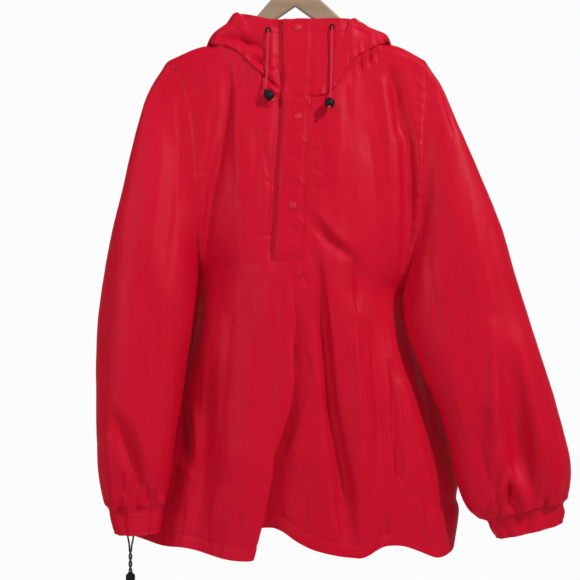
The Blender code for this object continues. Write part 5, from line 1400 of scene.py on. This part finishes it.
# A cord lock: radius as a share of LOCK_RADIUS, with the height from its top, then from its foot
LOCK_START = ((0, 0), (0.42, 0), (0.50, 0.4), (0.52, 1.0), (0.52, 3.0), (0.70, 3.3), (0.88, 4.2),
              (0.97, 5.6), (1, 7.2), (1, 8.4), (0.96, 8.8), (1, 9.2), (1, 12.0), (0.95, 13.6))
LOCK_FOOT = ((0.84, 1.8), (0.62, 0.5), (0.45, 0), (0, 0))


def lock_profile():
    return ([(LOCK_RADIUS * share, height) for share, height in LOCK_START]
            + [(LOCK_RADIUS * share, LOCK_LENGTH - below) for share, below in LOCK_FOOT])


def cord_curve(name, points, radius, made_of):
    curve = bpy.data.curves.new(name, "CURVE")
    curve.dimensions, curve.bevel_depth, curve.bevel_resolution = "3D", radius * MM, 2
    curve.use_fill_caps = True
    line = curve.splines.new("POLY")
    line.points.add(len(points) - 1)
    for target, point in zip(line.points, points):
        target.co = (*point, 1)
    curve.materials.append(made_of)
    made = bpy.data.objects.new(name, curve)
    bpy.context.scene.collection.objects.link(made)
    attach(made, "root")
    return made


CORD_STEPS, HEM_CORD_STEPS, TWIST_STEPS = 16, 24, 12
RING_OFF, CORD_OFF = 0.5, 1.0              # how far ring and cord start off the cloth
BEND_Y, TURN_Y = 0.45, 0.1                 # shares of a strand's first y, further down
TWIST_ABOVE, TWIST_ROOM = 4, 0.15          # the strands meet this far above and outside the twist
TOP_SHARE = 0.7          # the hem cord's lock starts this share of a radius below the strands' end


def make_hardware(looks, flap):
    over_flap = tree_of(flap)
    for number, (x, drop) in enumerate(SNAP_PLACES, 1):
        spot, normal = on_cloth(over_flap, x, drop)
        cap = turned(f"cap_{number}", SNAP, spot, normal, looks["red_plastic"])
        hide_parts(f"snap_{number}")
    tree = tree_of(*(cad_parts[name] for name in ("front", "hood_right", "hood_left")))
    black, red = looks["black_plastic"], looks["cord_red"]
    for side in ("right", "left"):
        x, drop = EYELETS[side]
        spot, normal = on_cloth(tree, x, drop)
        seat = spot + normal * RING_OFF * MM
        ring = turned("ring_" + side, EYELET, seat, normal, black)
        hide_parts("eyelet_" + side)
        route = [spot + normal * CORD_OFF * MM, spot + normal * CORD_STUB * MM]
        for cord_x, cord_drop, away in HOOD_CORD[side]:
            route.append(on_cloth(tree, cord_x, cord_drop)[0] - Vector((0, away * MM, 0)))
        points = [along(route, share) for share in counted(1, CORD_STEPS)]
        cord = cord_curve("drawcord_" + side, points, CORD_RADIUS, red)
        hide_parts("hood_cord_" + side)
        slope = Vector(LOCK_SLOPE[side]).normalized()
        down = (points[-1] - points[-2]).normalized()
        top = points[-1] + slope * (LOCK_PLAY + CORD_RADIUS * slope.cross(down).length) * MM
        lock = turned("barrel_" + side, lock_profile(), top, slope, black)
        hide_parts("cord_lock_" + side)
        foot = top + slope * (LOCK_LENGTH + LOCK_PLAY) * MM
        knot = turned("end_knot_" + side, KNOT, foot, slope, red)
        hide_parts("cord_knot_" + side)


def make_hem_cord(looks):
    top = place(HEM_CORD_X, HEM_END_DROP + HEM_CORD_RADIUS * TOP_SHARE, 0)
    axis = Vector((0, 0, -1))
    lock = turned("barrel_hem", lock_profile(), top, axis, looks["black_plastic"])
    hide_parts("hem_cord_lock")
    for name, (x, y, drop) in HEM_STARTS.items():
        sign = -1 if name == "a" else 1
        bend_x = HEM_CORD_X + sign * HEM_BEND_HALF
        turn_x = HEM_CORD_X + sign * (HEM_TWIST + TWIST_ROOM)
        route = [place(x, drop, y), place(x, drop + HEM_STRAIGHT, y),
                 place(bend_x, drop + HEM_BEND, y * BEND_Y),
                 place(turn_x, HEM_TURN_DROP - TWIST_ABOVE, y * TURN_Y)]
        for i in range(1, TWIST_STEPS + 1):
            angle = math.pi * HEM_HALF_TURNS * i / TWIST_STEPS
            across, deep = HEM_TWIST * math.cos(angle), HEM_TWIST * math.sin(angle)
            twist_drop = mix(HEM_TURN_DROP, HEM_END_DROP, i / TWIST_STEPS)
            route.append(place(HEM_CORD_X + sign * across, twist_drop, sign * deep))
        points = [along(route, share) for share in counted(1, HEM_CORD_STEPS)]
        cord = cord_curve("elastic_" + name, points, HEM_CORD_RADIUS, looks["cord_black"])
        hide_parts("hem_cord_" + name)


# ---- materials --------------------------------------------------------------
class Shader:
    """A Principled material that is built up from a few nodes on object coordinates."""

    def __init__(self, name, roughness, metallic=0.0, **values):
        self.material = bpy.data.materials.new(name)
        self.material.use_nodes = True
        self.nodes, self.links = self.material.node_tree.nodes, self.material.node_tree.links
        self.surface = self.nodes["Principled BSDF"]
        self.surface.inputs["Roughness"].default_value = roughness
        self.surface.inputs["Metallic"].default_value = metallic
        for socket, value in values.items():
            self.surface.inputs[socket.replace("_", " ")].default_value = value
        self.coordinates = self.nodes.new("ShaderNodeTexCoord").outputs["Object"]

    def stretched(self, scale):
        mapping = self.nodes.new("ShaderNodeMapping")
        mapping.inputs["Scale"].default_value = scale
        self.links.new(self.coordinates, mapping.inputs["Vector"])
        return mapping.outputs["Vector"]

    def noise(self, scale, detail=2.0, stretch=(1, 1, 1), rough=0.5):
        node = self.nodes.new("ShaderNodeTexNoise")
        node.inputs["Scale"].default_value = scale
        node.inputs["Detail"].default_value = detail
        node.inputs["Roughness"].default_value = rough
        self.links.new(self.stretched(stretch), node.inputs["Vector"])
        return node.outputs["Fac"]

    def ramp(self, value, stops):
        node = self.nodes.new("ShaderNodeValToRGB")
        elements = node.color_ramp.elements
        for element, (place_of, colour) in zip(elements, (stops[0], stops[-1])):
            element.position, element.color = place_of, (*colour, 1)
        for place_of, colour in stops[1:-1]:
            elements.new(place_of).color = (*colour, 1)
        self.links.new(value, node.inputs["Fac"])
        return node.outputs["Color"]

    def colour(self, value, *stops):
        self.links.new(self.ramp(value, stops), self.surface.inputs["Base Color"])

    def roughness(self, value, low, high):
        spread_of = self.ramp(value, ((0.3, (low,) * 3), (0.7, (high,) * 3)))
        self.links.new(spread_of, self.surface.inputs["Roughness"])

    def bumps(self, *layers):
        """Each layer is a height, the distance it stands for in metres and its strength."""
        below = None
        for height, distance, strength in layers:
            bump = self.nodes.new("ShaderNodeBump")
            bump.inputs["Distance"].default_value = distance
            bump.inputs["Strength"].default_value = strength
            self.links.new(height, bump.inputs["Height"])
            if below:
                self.links.new(below, bump.inputs["Normal"])
            below = bump.outputs["Normal"]
        self.links.new(below, self.surface.inputs["Normal"])


def make_materials():
    made = {}
    red = Shader("nylon_red", 0.46, Specular_IOR_Level=0.08)
    red.colour(red.noise(9, 3, (1, 1, 0.35)), (0.25, (0.535, 0.0030, 0.019)),
               (0.5, (0.580, 0.0040, 0.024)), (0.75, (0.620, 0.0055, 0.029)))
    red.roughness(red.noise(34, 2, (1, 1, 0.3)), 0.40, 0.54)
    red.bumps((red.noise(58, 4, (1, 1, 0.32)), 0.0022, 0.30),
              (red.noise(190, 3, (1, 1, 0.5)), 0.0006, 0.35),
              (red.noise(1500, 1, (1, 1, 0.25)), 0.0001, 0.35))
    made["nylon"] = red.material
    thread = Shader("thread_red", 0.6)
    thread.colour(thread.noise(300, 2), (0.3, (0.40, 0.006, 0.014)), (0.7, (0.56, 0.012, 0.026)))
    thread.bumps((thread.noise(2400, 1, (1, 1, 0.3)), 0.0001, 0.4))
    made["thread"] = thread.material
    plastic = Shader("plastic_red", 0.44, Specular_IOR_Level=0.25)
    plastic.colour(plastic.noise(120, 2), (0.3, (0.54, 0.006, 0.024)), (0.7, (0.62, 0.010, 0.034)))
    plastic.roughness(plastic.noise(260, 2), 0.38, 0.52)
    plastic.bumps((plastic.noise(700, 2), 0.0001, 0.15))
    made["red_plastic"] = plastic.material
    for name, dark, light in (("cord_red", (0.46, 0.008, 0.018), (0.64, 0.016, 0.034)),
                              ("cord_black", (0.010, 0.010, 0.012), (0.028, 0.028, 0.032))):
        cord = Shader(name, 0.62)
        cord.colour(cord.noise(900, 2, (1, 1, 0.6)), (0.35, dark), (0.65, light))
        cord.bumps((cord.noise(1300, 1, (1, 1, 0.5)), 0.0003, 0.5))
        made[name] = cord.material
    black = Shader("plastic_black", 0.4, Specular_IOR_Level=0.2)
    black.colour(black.noise(140, 2), (0.3, (0.004, 0.004, 0.005)), (0.7, (0.010, 0.010, 0.011)))
    black.roughness(black.noise(240, 2), 0.34, 0.5)
    black.bumps((black.noise(800, 2), 0.0001, 0.2))
    made["black_plastic"] = black.material
    wood = Shader("varnished_wood", 0.42, Coat_Weight=0.25, Coat_Roughness=0.2)
    wood.colour(wood.noise(26, 5, (0.16, 1, 1.6), 0.6), (0.25, (0.235, 0.150, 0.085)),
                (0.5, (0.330, 0.225, 0.140)), (0.75, (0.420, 0.300, 0.200)))
    wood.roughness(wood.noise(90, 2, (0.2, 1, 1)), 0.36, 0.5)
    wood.bumps((wood.noise(160, 3, (0.1, 1, 1.4)), 0.0004, 0.3))
    made["wood"] = wood.material
    steel = Shader("steel_wire", 0.24, 1.0)
    steel.colour(steel.noise(160, 3), (0.3, (0.50, 0.50, 0.51)), (0.7, (0.68, 0.68, 0.69)))
    steel.roughness(steel.noise(300, 2), 0.18, 0.34)
    made["steel"] = steel.material
    floor = Shader("pale_floor", 0.9)
    floor.colour(floor.noise(3, 2), (0.3, (0.80, 0.80, 0.80)), (0.7, (0.84, 0.84, 0.84)))
    made["floor"] = floor.material
    return made


# Which solids each material goes on
CAD_LOOKS = {"red_plastic": ("snap_1", "snap_2", "snap_3"),
             "black_plastic": ("eyelet_right", "eyelet_left", "cord_lock_right", "cord_lock_left",
                               "hem_cord_lock"),
             "cord_red": ("cord_knot_right", "cord_knot_left", "hood_cord_right", "hood_cord_left"),
             "cord_black": ("hem_cord_a", "hem_cord_b"), "wood": ("hanger",), "steel": ("hook",)}


def dress_nodes(looks):
    for look, names in CAD_LOOKS.items():
        for name in names:
            for slot_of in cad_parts[name].material_slots:
                slot_of.material = looks[look]


# ---- floor, light and camera ------------------------------------------------
CAMERA = (-0.0079, -2.2, -0.5632)          # in metres; it looks straight back
FRAME_WIDE = 0.9164      # width of the picture in the plane of the hanger
SENSOR = 36.0
FLOOR_RADIUS, FLOOR_DROP, FLOOR_SEGMENTS = 3.0, 1.75, 96
LIGHT_AIM = (0, 0, -0.55)
# Round lights: name, place, size, power, colour
LIGHTS = (("key", (1.6, -1.55, 1.15), 0.3, 48, (1, 0.99, 0.97)),
          ("fill", (-1.8, -2.1, 0.5), 1.5, 27, (0.97, 0.98, 1)),
          ("back", (0.6, 2.2, 1.9), 1.4, 12, (1, 1, 1)))
# Strength of the world's light by the direction it comes from: dim from the front, bright from behind
WORLD_LIGHT = {"From Min": 0.84, "From Max": 0.95, "To Min": 0.31, "To Max": 0.97}


def area_light(name, at, size, power, colour):
    data = bpy.data.lights.new(name, "AREA")
    data.shape, data.size, data.energy, data.color = "DISK", size, power, colour
    made = bpy.data.objects.new(name, data)
    bpy.context.scene.collection.objects.link(made)
    made.location = at
    made.rotation_euler = (Vector(LIGHT_AIM) - Vector(at)).to_track_quat("-Z", "Y").to_euler()


def make_stage(floor_look):
    work = bmesh.new()
    bmesh.ops.create_circle(work, cap_ends=True, segments=FLOOR_SEGMENTS, radius=FLOOR_RADIUS)
    mesh = bpy.data.meshes.new("floor")
    work.to_mesh(mesh)
    work.free()
    floor = bpy.data.objects.new("floor", mesh)
    floor.location = (0, 0, -FLOOR_DROP)
    bpy.context.scene.collection.objects.link(floor)
    mesh.materials.append(floor_look)
    scene = bpy.context.scene
    world = bpy.data.worlds.new("studio")
    world.use_nodes = True
    tree = world.node_tree
    background = tree.nodes["Background"]
    background.inputs["Color"].default_value = (1.0, 1.0, 1.0, 1)
    apart = tree.nodes.new("ShaderNodeSeparateXYZ")
    tree.links.new(tree.nodes.new("ShaderNodeTexCoord").outputs["Generated"], apart.inputs["Vector"])
    span = tree.nodes.new("ShaderNodeMapRange")
    for socket, value in WORLD_LIGHT.items():
        span.inputs[socket].default_value = value
    tree.links.new(apart.outputs["Y"], span.inputs["Value"])
    tree.links.new(span.outputs["Result"], background.inputs["Strength"])
    scene.world = world
    for light in LIGHTS:
        area_light(*light)
    scene.view_settings.view_transform = "Standard"
    scene.view_settings.look = "None"
    camera = bpy.data.cameras.new("camera")
    camera.sensor_width = SENSOR
    camera.lens = SENSOR * -CAMERA[1] / FRAME_WIDE
    camera.clip_start, camera.clip_end = 0.05, 30
    view = bpy.data.objects.new("camera", camera)
    view.location = CAMERA
    view.rotation_euler = (math.pi / 2, 0, 0)
    scene.collection.objects.link(view)
    scene.camera = view


def main():
    looks = make_materials()
    dress_nodes(looks)
    panels = make_panels()
    dress_body(panels)
    dress_sleeves(panels)
    dress_hood(panels)
    cloth = make_cloth(panels, looks["nylon"])
    flap_grid, flap = make_flap(panels, looks["nylon"])
    welts = make_welts(panels, looks["nylon"])
    stitch_all(panels, cloth, flap_grid, welts, looks["thread"])
    make_hardware(looks, flap)
    make_hem_cord(looks)
    make_stage(looks["floor"])


main()
